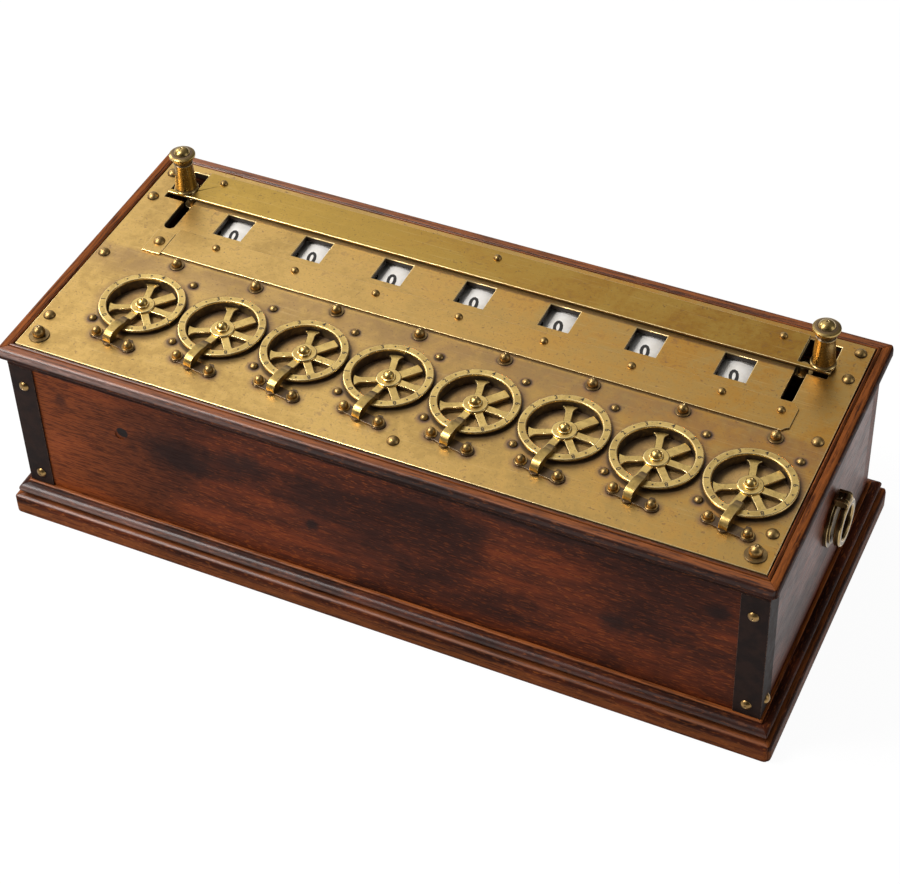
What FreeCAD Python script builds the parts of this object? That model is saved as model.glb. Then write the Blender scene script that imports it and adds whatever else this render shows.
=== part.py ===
"""Eight-dial arithmetic machine: a wooden case with a brass top and its carry movement.

Frame: X along the length to the right, Y to the back, Z up. The origin is the
middle of the underside. All sizes are in millimetres.
"""

import FreeCAD
import Part

import math
import os

V = FreeCAD.Vector

# Columns: dials along the front of the top, number windows behind them
dial_count = 8
window_count = 7
digits = 10
dial_pitch = 39.8
window_shift_x = 11.0

# The top plate from left to right, and from front to back
left_gap = 19.9
right_gap = 2.1
front_gap = 22.8
dial_strip_gap = 15.1
strip_depth = 17.5
strip_window_gap = 4.1
window_width = 14.0
window_depth = 14.8
window_bar_gap = 2.4
bar_depth = 19.8
rear_window_inset = 3.0
rear_window_depth = 12.0
plate_top_z = 98.0
plate_thickness = 2.8
plate_clearance = 0.3

# Case: panels, corner strips, base moulding and lid moulding
panel_thickness = 8.0
bottom_thickness = 9.0
base_overhang = 7.8
base_height = 16.8
plinth_height = 9.6
lid_border = 2.4
lid_overhang = 4.0
lid_height = 10.5
lid_ledge_width = 4.2
base_corner_radius = 3.0
lid_corner_radius = 3.6
corner_strip_width = 12.0
corner_strip_thickness = 0.8
plug_from_end = 52.0
plug_below_lid = 23.8
plug_radius = 2.6
plug_depth = 4.0

# Dials
ring_outer_radius = 19.2
ring_inner_radius = 15.6
ring_height = 2.8
ring_undercut_height = 1.1
ring_undercut = 1.5
well_wall = 1.3
well_depth = 2.9
well_floor_thickness = 1.2
arm_end_gap = 0.7
arm_thickness = 2.0
arm_level = 1.6
hub_radius = 5.5
hub_height = 3.0
hub_nut_radius = 3.1
hub_nut_height = 0.8
hub_dome_radius = 2.4
hub_dome_height = 2.2
hub_dimple_radius = 0.4
# direction in degrees, half width at the middle, half width at the end
arm_list = [
    (50.0, 2.3, 2.4),
    (103.0, 1.6, 3.3),
    (205.0, 1.6, 3.2),
    (258.0, 1.7, 2.2),
    (309.0, 1.7, 2.4),
    (357.0, 1.7, 2.5),
]

# Stop fingers in front of the dials, from the dial's centre
stop_left = (-9.3, -23.3)
stop_right = (8.0, -26.3)
stop_base_thickness = 0.9
stop_end_radius = 3.1
stop_web_half_width = 2.5
stop_lug = (6.9, -21.6)
stop_lug_half_width = 1.0
stop_nose = (-2.0, -27.4)
stop_turn = 9.7
stop_width = 4.0
stop_leg = 3.3
stop_rise = 6.0
stop_gap = 0.35
stop_tip_height = 0.9
stop_tip_length = 2.1
stop_tip_taper = 0.7

# Strip in front of the windows, and its end tab
strip_left_inset = 28.5
strip_right_inset = 17.7
strip_notch = 2.6
strip_plate_thickness = 0.8
tab_width = 9.2
tab_depth = 15.2
tab_forward = 1.2
tab_gap = 0.2

# Sliding cover bar, its knobs and the slots that guide it
bar_left_inset = 22.2
bar_right_inset = 27.1
bar_thickness = 1.5
bar_lift = 0.25
bar_stop_gap = 1.3
bar_lip_width = 2.2
bar_lip_left_inset = 9.9
bar_lip_right_inset = 12.3
knob_inset = 17.0
knob_behind_lip = 5.0
knob_pad_radius = 5.4
stud_left_inset = 21.9
stud_right_inset = 24.4
stud_radius = 2.2
stud_inset = 0.1
stud_washer_radius = 4.0
stud_washer_thickness = 1.2
stud_washer_gap = 0.4
slot_half_width = 2.6
slot_front_spare = 1.8
slot_end_spare = 0.6
slot_wide_left_inset = 9.1
slot_wide_right_inset = 13.1
slot_wide_front_gap = 2.0
slot_wide_back_gap = 0.6

# Knob outline: radii, and heights measured down from the top
knob_foot_radius = 5.6
knob_body_radius = 5.05
knob_neck_radius = 4.15
knob_head_radius = 6.1
knob_button_radius = 3.7
knob_dimple_radius = 0.6
knob_height = 23.2
knob_foot_height = 1.4
knob_head_height = 8.5

# Movement under the top plate
running_clearance = 0.05
arbor_radius = 2.0
pivot_radius = 1.5
crown_radius = 14.5
crown_thickness = 2.0
crown_pin_circle = 12.5
crown_pin_radius = 0.9
crown_pin_length = 6.2
shaft_drop = 6.0
shaft_radius = 2.0
carry_wheel_radius = 9.2
carry_pin_circle = 7.5
carry_pin_length = 4.0
carry_wheel_gap = 5.9
carry_wheel_thickness = 1.5
lever_gap = 4.5
lever_thickness = 2.0
lever_hub_radius = 4.5
lever_half_height = 1.6
lever_finger_width = 3.0
lever_pin_gap = 0.5
lever_weight_place = 12.0
lever_weight_length = 12.0
lever_weight_drop = 6.0
ratchet_gap = 4.0
ratchet_thickness = 2.0
ratchet_tip_radius = 9.0
ratchet_root_radius = 7.0
ratchet_teeth = 2 * digits
pawl_length = 10.0
pawl_slope = 58.0
pawl_hub_radius = 2.4
pawl_direction = 125.0
pawl_lead = 1.5
pawl_gap = 0.3
gear_gap = 5.0
gear_width = 3.5
gear_teeth = 20
gear_plate_gap = 3.5
drum_radius = 15.5
drum_wall = 1.3
drum_spare = 1.4
drum_depth = 3.9
drum_end_gap = 1.0
drum_hub_wall = 2.0

# Frame of the movement
bearing_thickness = 3.0
rear_plate_thickness = 2.3
rear_plate_rise = 8.0
rear_plate_inset = 6.0
frame_wall_gap = 0.3
frame_end_gap = 8.2
front_bar_gap = 2.7
frame_drop = 16.0
bridge_front = 6.5
bridge_rise = 7.2
bridge_thickness = 2.4
bridge_arm_width = 8.0
plate_lug_width = 12.0
plate_lug_height = 4.0
tie_radius = 2.5
tie_rise = 4.0
tie_columns = (0, 3, 6)

# Ring pulls on the two ends
pull_y = 13.0
pull_drop = 1.15
rosette_radius = 12.5
rosette_thickness = 1.8
rosette_step_radius = 10.6
rosette_step = 0.8
pull_radius = 9.2
pull_band = 1.6
pull_depth = 3.2
pull_edge = 0.6
pull_pivot_out = 5.4
pull_pivot_rise = 12.9
pull_neck_radius = 1.8
pull_neck_half_width = 1.8
pull_pin_radius = 1.0
pull_ear_thickness = 1.6
pull_ear_gap = 0.25

# Screws: radius of the head where it sits, head height, washer radius, dimple radius
large_screw = (2.4, 4.5, 4.6, 0.6)
dome_screw = (2.1, 3.4, 3.3, 0.4)
stop_screw = (1.9, 2.6, 2.7, 0.0)
small_screw = (1.9, 1.7, 0.0, 0.0)
plate_screw = (2.8, 2.1, 0.0, 0.0)
case_screw = (2.5, 1.5, 0.0, 0.4)
washer_thickness = 0.6
dimple_depth = 0.4
shank_radius = 0.9
plate_screw_bite = 1.5
shank_clearance = 0.1
screw_tip_clearance = 0.3
corner_screw_inset = (7.3, 8.0)
left_screw_inset = 4.3
right_screw_inset = 4.9
left_screw_places = (118.0, 71.8, 28.1, 9.5)
right_screw_places = (118.1, 62.8, 22.7, 5.5)
front_screw_x = 6.7
front_screw_inset = 9.5
bar_screw_insets = (9.3, 10.4)
bar_screw_back = 5.2
strip_screw_back = 5.5
strip_end_screw_inset = (6.4, 6.5)
tab_screw_inset = (4.8, 7.8)
strip_near_screw_gap = 4.7
near_screw_shift = 0.3
right_small_offset = (13.9, 20.6)
left_small_offset = (-16.2, -15.2)
case_screw_inset = 6.4
case_side_screw_inset = 6.4
case_screw_low = 6.4
case_screw_high = 11.3
case_screw_length = 4.0

# Lengths of the top plate and the case, added up from the pieces
plate_length = left_gap + 2 * ring_outer_radius + (dial_count - 1) * dial_pitch + right_gap
dials_from_front = front_gap + ring_outer_radius
strip_from_front = dials_from_front + ring_outer_radius + dial_strip_gap
windows_from_front = strip_from_front + strip_depth + strip_window_gap
bar_from_front = windows_from_front + window_depth + window_bar_gap
drums_end_from_front = bar_from_front + rear_window_inset + rear_window_depth
frame_end_from_front = drums_end_from_front + drum_end_gap + rear_plate_thickness
plate_edge_in = lid_border + plate_clearance
plate_depth = frame_end_from_front + frame_wall_gap + panel_thickness - plate_edge_in
plate_half_length = plate_length / 2.0
plate_half_depth = plate_depth / 2.0
case_half_length = plate_half_length + plate_edge_in
case_half_depth = plate_half_depth + plate_edge_in
inner_half_length = case_half_length - panel_thickness
inner_half_depth = case_half_depth - panel_thickness

# Places along the length
first_dial_x = -plate_half_length + left_gap + ring_outer_radius
dial_xs = [first_dial_x + dial_pitch * i for i in range(dial_count)]
window_xs = [x + window_shift_x for x in dial_xs[:window_count]]
strip_left_x = -plate_half_length + strip_left_inset
strip_right_x = plate_half_length - strip_right_inset
bar_left_x = -plate_half_length + bar_left_inset
bar_right_x = plate_half_length - bar_right_inset
bar_lip_left_x = -plate_half_length + bar_lip_left_inset
bar_lip_right_x = plate_half_length - bar_lip_right_inset
knob_x = plate_half_length - knob_inset
stud_left_x = -plate_half_length + stud_left_inset
stud_right_x = plate_half_length - stud_right_inset
frame_half_length = inner_half_length - frame_end_gap
plug_x = -case_half_length + plug_from_end

# Places along the depth
dial_y = -plate_half_depth + dials_from_front
strip_front_y = -plate_half_depth + strip_from_front
strip_back_y = strip_front_y + strip_depth
window_front_y = -plate_half_depth + windows_from_front
bar_front_y = -plate_half_depth + bar_from_front
bar_back_y = bar_front_y + bar_depth
bar_travel = bar_front_y - strip_back_y - bar_stop_gap
rear_window_front_y = bar_front_y + rear_window_inset
knob_y = bar_front_y + knob_behind_lip
stud_y = bar_front_y + stud_radius + stud_inset
slot_front_y = stud_y - bar_travel - stud_radius - slot_front_spare
front_bar_y = -inner_half_depth + front_bar_gap
front_bar_back_y = front_bar_y + bearing_thickness
mesh_y = dial_y + crown_pin_circle
pin_reach = crown_pin_length / 2.0
shaft_crown_y = mesh_y + pin_reach
carry_wheel_y = shaft_crown_y + crown_thickness + carry_wheel_gap
lever_y = carry_wheel_y + carry_wheel_thickness + lever_gap
ratchet_y = lever_y + lever_thickness + ratchet_gap
gear_y = ratchet_y + ratchet_thickness + gear_gap
middle_plate_y = gear_y + gear_width + gear_plate_gap
middle_plate_back_y = middle_plate_y + bearing_thickness
drum_front_y = window_front_y - drum_spare
drum_back_y = rear_window_front_y + rear_window_depth
rear_plate_y = drum_back_y + drum_end_gap
rear_plate_back_y = rear_plate_y + rear_plate_thickness

# Places along the height
plate_bottom_z = plate_top_z - plate_thickness
lid_bottom_z = plate_top_z - lid_height
well_floor_top_z = plate_top_z - well_depth
well_floor_bottom_z = well_floor_top_z - well_floor_thickness
well_outer_radius = ring_inner_radius + well_wall
arm_reach = ring_inner_radius - arm_end_gap
ring_top_z = plate_top_z + ring_height
arm_bottom_z = plate_top_z - arm_level
hub_bottom_z = arm_bottom_z - 0.1 * arm_thickness
hub_top_z = hub_bottom_z + hub_height
drum_z = plate_top_z - drum_depth - drum_radius
shaft_z = drum_z - shaft_drop
mesh_z = shaft_z + crown_pin_circle
crown_bottom_z = mesh_z + pin_reach
crown_top_z = crown_bottom_z + crown_thickness
bridge_top_z = shaft_z + bridge_rise
bridge_bottom_z = bridge_top_z - bridge_thickness
frame_bottom_z = shaft_z - frame_drop
tie_z = frame_bottom_z + tie_rise
bar_bottom_z = plate_top_z + bar_lift
bar_top_z = bar_bottom_z + bar_thickness
pull_z = (base_height + lid_bottom_z) / 2.0 - pull_drop
plug_z = lid_bottom_z - plug_below_lid
bearing_radius = pivot_radius + running_clearance


def box(x0, x1, y0, y1, z0, z1):
    """Return a box between two corners."""
    return Part.makeBox(x1 - x0, y1 - y0, z1 - z0, V(x0, y0, z0))


def rod(radius, start, end):
    """Return a round rod between two points."""
    a = V(*start)
    b = V(*end)
    return Part.makeCylinder(radius, (b - a).Length, a, b - a)


def prism(points, direction):
    """Return the solid that a closed outline sweeps along a vector."""
    wire = Part.makePolygon([V(*p) for p in points] + [V(*points[0])])
    return Part.Face(wire).extrude(V(*direction))


def path_wire(pieces):
    """Return a wire from lines (two points) and arcs (three points)."""
    edges = []
    for piece in pieces:
        pts = [V(*p) for p in piece]
        if len(pts) == 2:
            edges.append(Part.LineSegment(pts[0], pts[1]).toShape())
        else:
            edges.append(Part.Arc(pts[0], pts[1], pts[2]).toShape())
    return Part.Wire(edges)


def turned(outline, centre, axis):
    """Return the solid of revolution of an outline of (radius, height) points."""
    pts = [V(r, 0, h) for r, h in outline]
    wire = Part.makePolygon(pts + [pts[0]])
    solid = Part.Face(wire).revolve(V(0, 0, 0), V(0, 0, 1), 360)
    solid.Placement = FreeCAD.Placement(V(*centre), FreeCAD.Rotation(V(0, 0, 1), V(*axis)))
    return solid


def fuse(shapes):
    """Return one solid from several that touch or overlap."""
    return shapes[0].multiFuse(shapes[1:]).removeSplitter()


def cut(shape, tools):
    """Return a shape with a list of tools taken out of it."""
    return shape.cut(Part.makeCompound(tools)) if tools else shape


def save(name, solids):
    """Write one node as a STEP file."""
    shape = solids[0] if len(solids) == 1 else Part.makeCompound(solids)
    found = shape.Solids
    bad = [i for i, s in enumerate(found) if not s.isValid() or s.Volume <= 0.0]
    shape.exportStep(os.path.join("parts", name + ".step"))
    note = "" if len(found) == len(solids) and not bad else "  CHECK %d %s" % (len(found), bad)
    print("%-26s %3d solids  %9.1f mm3%s" % (name, len(found), shape.Volume, note))


def dome_outline(radius, height, dimple=0.0, steps=6):
    """Return (radius, height) points of a dome head from its rim to its crown.

    A head higher than its radius swells above its seat like a ball. A dimple
    may be sunk in the crown.
    """
    ball = (radius * radius + height * height) / (2.0 * height)
    full = math.asin(min(1.0, radius / ball))
    if height > radius:
        full = math.pi - full
    points = []
    for i in range(steps + 1):
        a = full * (1.0 - i / steps)
        points.append((ball * math.sin(a), height - ball + ball * math.cos(a)))
    if dimple > 0.0:
        points[-1] = (dimple, height)
        points += [(0.6 * dimple, height - dimple_depth), (0.0, height - dimple_depth)]
    else:
        points[-1] = (0.0, height)
    return points


def screw(head, seat, axis, shank):
    """Return a dome-headed screw with its shank below the seat."""
    radius, height, washer_radius, dimple = head
    lift = washer_thickness if washer_radius > 0.0 else 0.0
    outline = [(0.0, -shank), (shank_radius, -shank), (shank_radius, 0.0)]
    if washer_radius > 0.0:
        edge = 0.3 * washer_thickness
        outline.append((washer_radius, 0.0))
        outline.append((washer_radius, lift - edge))
        outline.append((washer_radius - edge, lift))
        outline.append((radius + 2.0 * edge, lift))
        outline.append((radius, lift - edge))
    else:
        outline.append((radius, 0.0))
    outline += [(r, h + lift) for r, h in dome_outline(radius, height, dimple)]
    return turned(outline, seat, axis)


def mitred_frame(half_x, half_y, outline, inward, outward, corner_radius):
    """Return four mitred lengths of a moulding, round at the outer corners.

    The outline's first number is the distance out from the panel's face, and
    its second is the height.
    """
    heights = [z for piece in outline for _, z in piece]
    block = box(
        -half_x - outward, half_x + outward, -half_y - outward, half_y + outward, min(heights), max(heights)
    )
    upright = [edge for edge in block.Edges if edge.BoundBox.ZLength > 0.5 * block.BoundBox.ZLength]
    block = block.makeFillet(corner_radius, upright)
    lengths = []
    for turn in (0, 90, 180, 270):
        hx, hy = (half_x, half_y) if turn % 180 == 0 else (half_y, half_x)
        reach = hx + outward
        pieces = [[(-reach, -(hy + d), z) for d, z in piece] for piece in outline]
        bar = Part.Face(path_wire(pieces)).extrude(V(2.0 * reach, 0, 0))
        bottom = min(heights) - 1.0
        corners = [
            (-hx - outward, -hy - outward, bottom),
            (hx + outward, -hy - outward, bottom),
            (hx - inward, -hy + inward, bottom),
            (-hx + inward, -hy + inward, bottom),
        ]
        mitre = prism(corners, (0, 0, max(heights) - bottom + 1.0))
        length = bar.common(mitre)
        length.rotate(V(0, 0, 0), V(0, 0, 1), turn)
        lengths.append(length.common(block).Solids[0])
    return lengths


# Case

def base_moulding():
    """Return the four lengths of the base: plinth, groove, half round and fillet."""
    face = base_overhang
    round_radius = 2.4
    groove_z = plinth_height + 0.7
    torus_bottom = groove_z
    torus_top = torus_bottom + 4.9
    torus_in = 3.0
    fillet = 1.7
    outline = [
        [(0, 0), (face, 0)],
        [(face, 0), (face, plinth_height - round_radius)],
        [
            (face, plinth_height - round_radius),
            (face - 0.3 * round_radius, plinth_height - 0.3 * round_radius),
            (face - round_radius, plinth_height),
        ],
        [(face - round_radius, plinth_height), (torus_in, plinth_height)],
        [(torus_in, plinth_height), (torus_in, torus_bottom)],
        [
            (torus_in, torus_bottom),
            (torus_in + 2.45, (torus_bottom + torus_top) / 2.0),
            (torus_in, torus_top),
        ],
        [(torus_in, torus_top), (fillet, torus_top)],
        [(fillet, torus_top), (fillet, base_height)],
        [(fillet, base_height), (0, base_height)],
        [(0, base_height), (0, 0)],
    ]
    return mitred_frame(case_half_length, case_half_depth, outline, 0.0, base_overhang, base_corner_radius)


def lid_moulding():
    """Return the four lengths of the lid: rebate, bead, flat, nose and cove."""
    rebate_in = lid_border
    ledge_in = plate_edge_in + lid_ledge_width
    top = plate_top_z - 0.4
    nose_z = top - 2.6
    under_z = lid_bottom_z + 4.6
    cove_out = lid_overhang - 1.3
    cove_in = 0.9
    outline = [
        [(-ledge_in, lid_bottom_z), (cove_in, lid_bottom_z)],
        [(cove_in, lid_bottom_z), (cove_in, lid_bottom_z + 1.0)],
        [
            (cove_in, lid_bottom_z + 1.0),
            (cove_in + 0.5, lid_bottom_z + 3.2),
            (cove_out, under_z),
        ],
        [(cove_out, under_z), (lid_overhang - 0.4, under_z)],
        [
            (lid_overhang - 0.4, under_z),
            (lid_overhang, nose_z - 0.6),
            (lid_overhang - 0.2, nose_z + 0.9),
        ],
        [
            (lid_overhang - 0.2, nose_z + 0.9),
            (lid_overhang - 0.9, top - 0.5),
            (lid_overhang - 2.2, top),
        ],
        [(lid_overhang - 2.2, top), (-rebate_in + 2.1, top)],
        [(-rebate_in + 2.1, top), (-rebate_in + 1.7, top - 0.5)],
        [
            (-rebate_in + 1.7, top - 0.5),
            (-rebate_in + 1.0, top + 0.5),
            (-rebate_in + 0.3, top - 0.5),
        ],
        [(-rebate_in + 0.3, top - 0.5), (-rebate_in, top - 0.5)],
        [(-rebate_in, top - 0.5), (-rebate_in, plate_bottom_z)],
        [(-rebate_in, plate_bottom_z), (-ledge_in, plate_bottom_z)],
        [(-ledge_in, plate_bottom_z), (-ledge_in, lid_bottom_z)],
    ]
    lengths = mitred_frame(
        case_half_length, case_half_depth, outline, ledge_in, lid_overhang, lid_corner_radius
    )
    return [cut(length, top_screw_holes()) for length in lengths]


def case_panels():
    """Return the bottom board and the front, back, left and right panels by name."""
    hx = case_half_length
    hy = case_half_depth
    inner_y = inner_half_depth
    low = bottom_thickness
    high = lid_bottom_z
    front = box(-hx, hx, -hy, -inner_y, low, high)
    plug_seat = rod(plug_radius, (plug_x, -hy - 1.0, plug_z), (plug_x, -hy + plug_depth, plug_z))
    plug_face_y = -hy + 0.1 * plug_depth
    plug_rod = rod(
        plug_radius - running_clearance, (plug_x, plug_face_y, plug_z), (plug_x, -hy + plug_depth, plug_z)
    )
    holes = case_screw_holes()
    return {
        "bottom_board": [box(-hx, hx, -hy, hy, 0.0, low)],
        "front_panel": [cut(front, [plug_seat] + holes), plug_rod],
        "back_panel": [box(-hx, hx, inner_y, hy, low, high)],
        "left_end_panel": [box(-hx, -hx + panel_thickness, -inner_y, inner_y, low, high)],
        "right_end_panel": [box(hx - panel_thickness, hx, -inner_y, inner_y, low, high)],
    }


def case_screw_places():
    """Return the seat and direction of each screw through the corner strips."""
    hx = case_half_length + corner_strip_thickness
    hy = case_half_depth + corner_strip_thickness
    low = base_height + case_screw_low
    high = lid_bottom_z - case_screw_high
    places = []
    for sx in (-1, 1):
        for z in (low, high):
            places.append(((sx * (hx - case_screw_inset), -hy, z), (0, -1, 0)))
        places.append(((sx * hx, -hy + case_side_screw_inset, low), (sx, 0, 0)))
    return places


def case_screw_holes():
    """Return the holes for the case screws, through the strips and into the panels."""
    holes = []
    for seat, axis in case_screw_places():
        depth = case_screw_length + screw_tip_clearance
        start = [s + a for s, a in zip(seat, axis)]
        end = [s - a * depth for s, a in zip(seat, axis)]
        holes.append(rod(shank_radius + shank_clearance, start, end))
    return holes


def corner_strips():
    """Return the two bent strips that cover the front corners of the case."""
    hx = case_half_length
    hy = case_half_depth
    t = corner_strip_thickness
    w = corner_strip_width
    holes = case_screw_holes()
    strips = []
    for sx in (-1, 1):
        points = [
            (hx + t, hy + t), (hx + t - w, hy + t), (hx + t - w, hy),
            (hx, hy), (hx, hy + t - w), (hx + t, hy + t - w),
        ]
        outline = [(sx * x, -y, base_height) for x, y in points]
        strips.append(cut(prism(outline, (0, 0, lid_bottom_z - base_height)), holes))
    return strips


def case_screws():
    """Return the screws through the corner strips."""
    return [screw(case_screw, seat, axis, case_screw_length) for seat, axis in case_screw_places()]


# Screws on the top

def top_screw_places():
    """Return seat, head and shank depth of each screw in the top plate."""
    deep = plate_thickness + plate_screw_bite
    places = []
    corner_x = plate_half_length - corner_screw_inset[0]
    corner_y = -plate_half_depth + corner_screw_inset[1]
    for sx in (-1, 1):
        places.append(((sx * corner_x, corner_y, plate_top_z), large_screw, deep))
    sides = (
        (-plate_half_length + left_screw_inset, left_screw_places),
        (plate_half_length - right_screw_inset, right_screw_places),
    )
    for x, distances in sides:
        for distance in distances:
            places.append(((x, plate_half_depth - distance, plate_top_z), plate_screw, deep))
    front_y = -plate_half_depth + front_screw_inset
    places.append(((front_screw_x, front_y, plate_top_z), plate_screw, deep))
    for x in dial_xs:
        near = (x + near_screw_shift, strip_front_y - strip_near_screw_gap, plate_top_z)
        places.append((near, dome_screw, deep))
        for dx, dy in (right_small_offset, left_small_offset):
            places.append(((x + dx, dial_y + dy, plate_top_z), small_screw, deep))
        for dx, dy in (stop_left, stop_right):
            seat = (x + dx, dial_y + dy, plate_top_z + stop_base_thickness)
            places.append((seat, stop_screw, deep + stop_base_thickness))
    seat_z = plate_top_z + strip_plate_thickness
    depth = deep + strip_plate_thickness
    for x in window_xs:
        places.append(((x, strip_back_y - strip_screw_back, seat_z), small_screw, depth))
    x = strip_right_x - strip_end_screw_inset[0]
    y = strip_back_y - strip_end_screw_inset[1]
    places.append(((x, y, seat_z), small_screw, depth))
    x = strip_left_x - tab_gap - tab_width + tab_screw_inset[0]
    y = strip_front_y - tab_forward + tab_screw_inset[1]
    places.append(((x, y, seat_z), plate_screw, depth))
    return places


def top_screw_holes():
    """Return the holes for every screw in the top plate."""
    radius = shank_radius + shank_clearance
    holes = []
    for (x, y, z), _, depth in top_screw_places():
        holes.append(rod(radius, (x, y, z + 1.0), (x, y, z - depth - screw_tip_clearance)))
    return holes


def top_screws():
    """Return the screws in the top plate."""
    return [screw(head, seat, (0, 0, 1), depth) for seat, head, depth in top_screw_places()]


# Top plate

def slot(stud_x, wide_x0, wide_x1):
    """Return the cut that guides one stud of the cover bar."""
    low = plate_bottom_z - 1.0
    high = plate_top_z + 1.0
    end_y = slot_front_y + slot_half_width
    rest_y = stud_y + stud_radius + slot_end_spare
    narrow = box(stud_x - slot_half_width, stud_x + slot_half_width, end_y, rest_y, low, high)
    tip = rod(slot_half_width, (stud_x, end_y, low), (stud_x, end_y, high))
    front_y = bar_front_y - slot_wide_front_gap
    back_y = bar_back_y - slot_wide_back_gap
    back = box(wide_x0, wide_x1, front_y, back_y, low, high)
    return [narrow, tip, back]


def top_plate():
    """Return the brass top plate with its holes, windows and slots."""
    hx = plate_half_length
    hy = plate_half_depth
    plate = box(-hx, hx, -hy, hy, plate_bottom_z, plate_top_z)
    low = plate_bottom_z - 1.0
    high = plate_top_z + 1.0
    tools = []
    for x in dial_xs:
        radius = well_outer_radius + shank_clearance
        tools.append(rod(radius, (x, dial_y, low), (x, dial_y, high)))
    for x in window_xs:
        for y, depth in ((window_front_y, window_depth), (rear_window_front_y, rear_window_depth)):
            tools.append(box(x - window_width / 2, x + window_width / 2, y, y + depth, low, high))
    tools += slot(stud_left_x, -hx + slot_wide_left_inset, bar_left_x)
    tools += slot(stud_right_x, bar_right_x, hx - slot_wide_right_inset)
    tools += top_screw_holes()
    for tool in tools:
        plate = plate.cut(tool)
    return [plate]


def window_strip():
    """Return the strip in front of the windows and the small tab at its left end."""
    z = plate_top_z
    n = strip_notch
    nick = 0.6 * n
    right = strip_right_x
    points = [
        (strip_left_x, strip_front_y), (right - n, strip_front_y), (right - nick, strip_front_y + nick),
        (right, strip_front_y + n), (right, strip_back_y - n),
        (right - nick, strip_back_y - nick), (right - n, strip_back_y), (strip_left_x, strip_back_y),
    ]
    strip = prism([(x, y, z) for x, y in points], (0, 0, strip_plate_thickness))
    tab_right_x = strip_left_x - tab_gap
    tab_left_x = tab_right_x - tab_width
    tab_front_y = strip_front_y - tab_forward
    tab_back_y = tab_front_y + tab_depth
    tab = box(tab_left_x, tab_right_x, tab_front_y, tab_back_y, z, z + strip_plate_thickness)
    holes = top_screw_holes()
    return [cut(strip, holes), cut(tab, holes)]


# Dials

def dial_rings():
    """Return the fixed number rings, each with its wall down into the plate."""
    outline = [
        (ring_inner_radius, well_floor_top_z),
        (well_outer_radius, well_floor_top_z),
        (well_outer_radius, plate_top_z),
        (ring_outer_radius - ring_undercut, plate_top_z),
        (ring_outer_radius - ring_undercut, plate_top_z + ring_undercut_height),
        (ring_outer_radius, plate_top_z + ring_undercut_height + 0.2),
        (ring_outer_radius, ring_top_z - 0.3),
        (ring_outer_radius - 0.3, ring_top_z),
        (ring_inner_radius + 0.3, ring_top_z),
        (ring_inner_radius, ring_top_z - 0.3),
    ]
    return [turned(outline, (x, dial_y, 0), (0, 0, 1)) for x in dial_xs]


def dial_floors():
    """Return the floor of each dial, with the upper bearing of its arbor."""
    floors = []
    for x in dial_xs:
        disc = rod(well_outer_radius, (x, dial_y, well_floor_bottom_z), (x, dial_y, well_floor_top_z))
        radius = arbor_radius + running_clearance
        hole = rod(radius, (x, dial_y, well_floor_bottom_z - 1), (x, dial_y, well_floor_top_z + 1))
        floors.append(disc.cut(hole))
    return floors


def dial_arm(centre_x, direction, half_middle, half_end):
    """Return one arm of a dial wheel, flared where it ends."""
    start = hub_radius - 1.0
    bend = start + 0.55 * (arm_reach - start)
    end_angle = math.asin(half_end / arm_reach)
    end_x = arm_reach * math.cos(end_angle)
    flare_x = bend + 0.62 * (end_x - bend)
    flare = half_middle + 0.22 * (half_end - half_middle)
    z = arm_bottom_z
    pieces = [
        [(start, -half_middle, z), (bend, -half_middle, z)],
        [(bend, -half_middle, z), (flare_x, -flare, z), (end_x, -half_end, z)],
        [(end_x, -half_end, z), (arm_reach, 0, z), (end_x, half_end, z)],
        [(end_x, half_end, z), (flare_x, flare, z), (bend, half_middle, z)],
        [(bend, half_middle, z), (start, half_middle, z)],
        [(start, half_middle, z), (start, -half_middle, z)],
    ]
    arm = Part.Face(path_wire(pieces)).extrude(V(0, 0, arm_thickness))
    arm.rotate(V(0, 0, 0), V(0, 0, 1), direction)
    arm.translate(V(centre_x, dial_y, 0))
    return arm


def pin_ring(count, circle, radius, start, axis, side, length, phase):
    """Return pins on a circle about an axis along Z or Y."""
    pins = []
    for i in range(count):
        a = math.radians(phase + i * 360.0 / count)
        if axis == "z":
            x = start[0] + circle * math.sin(a)
            y = start[1] + circle * math.cos(a)
            pins.append(rod(radius, (x, y, start[2]), (x, y, start[2] + side * length)))
        else:
            x = start[0] + circle * math.sin(a)
            z = start[2] + circle * math.cos(a)
            pins.append(rod(radius, (x, start[1], z), (x, start[1] + side * length, z)))
    return pins


def dial_wheel(x):
    """Return one dial wheel with its arbor and the pin crown under the plate."""
    nut_z = hub_top_z + hub_nut_height
    crown_outline = dome_outline(hub_dome_radius, hub_dome_height, hub_dimple_radius)
    hub = turned(
        [
            (0, hub_bottom_z), (hub_radius, hub_bottom_z), (hub_radius, hub_top_z - 0.4),
            (hub_radius - 0.4, hub_top_z), (hub_nut_radius, hub_top_z),
            (hub_nut_radius, nut_z - 0.3), (hub_nut_radius - 0.3, nut_z),
        ]
        + [(r, nut_z + h) for r, h in crown_outline],
        (x, dial_y, 0),
        (0, 0, 1),
    )
    arms = [dial_arm(x, *arm) for arm in arm_list]
    arbor = rod(arbor_radius, (x, dial_y, bridge_top_z + 0.2), (x, dial_y, hub_bottom_z + 0.5))
    pivot = rod(pivot_radius, (x, dial_y, bridge_bottom_z), (x, dial_y, bridge_top_z + 0.5))
    crown = rod(crown_radius, (x, dial_y, crown_bottom_z), (x, dial_y, crown_top_z))
    pins = pin_ring(
        digits, crown_pin_circle, crown_pin_radius, (x, dial_y, crown_bottom_z + 0.5), "z", -1,
        crown_pin_length + 0.5, 0.0,
    )
    return fuse([hub, arbor, pivot, crown] + arms + pins)


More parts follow.
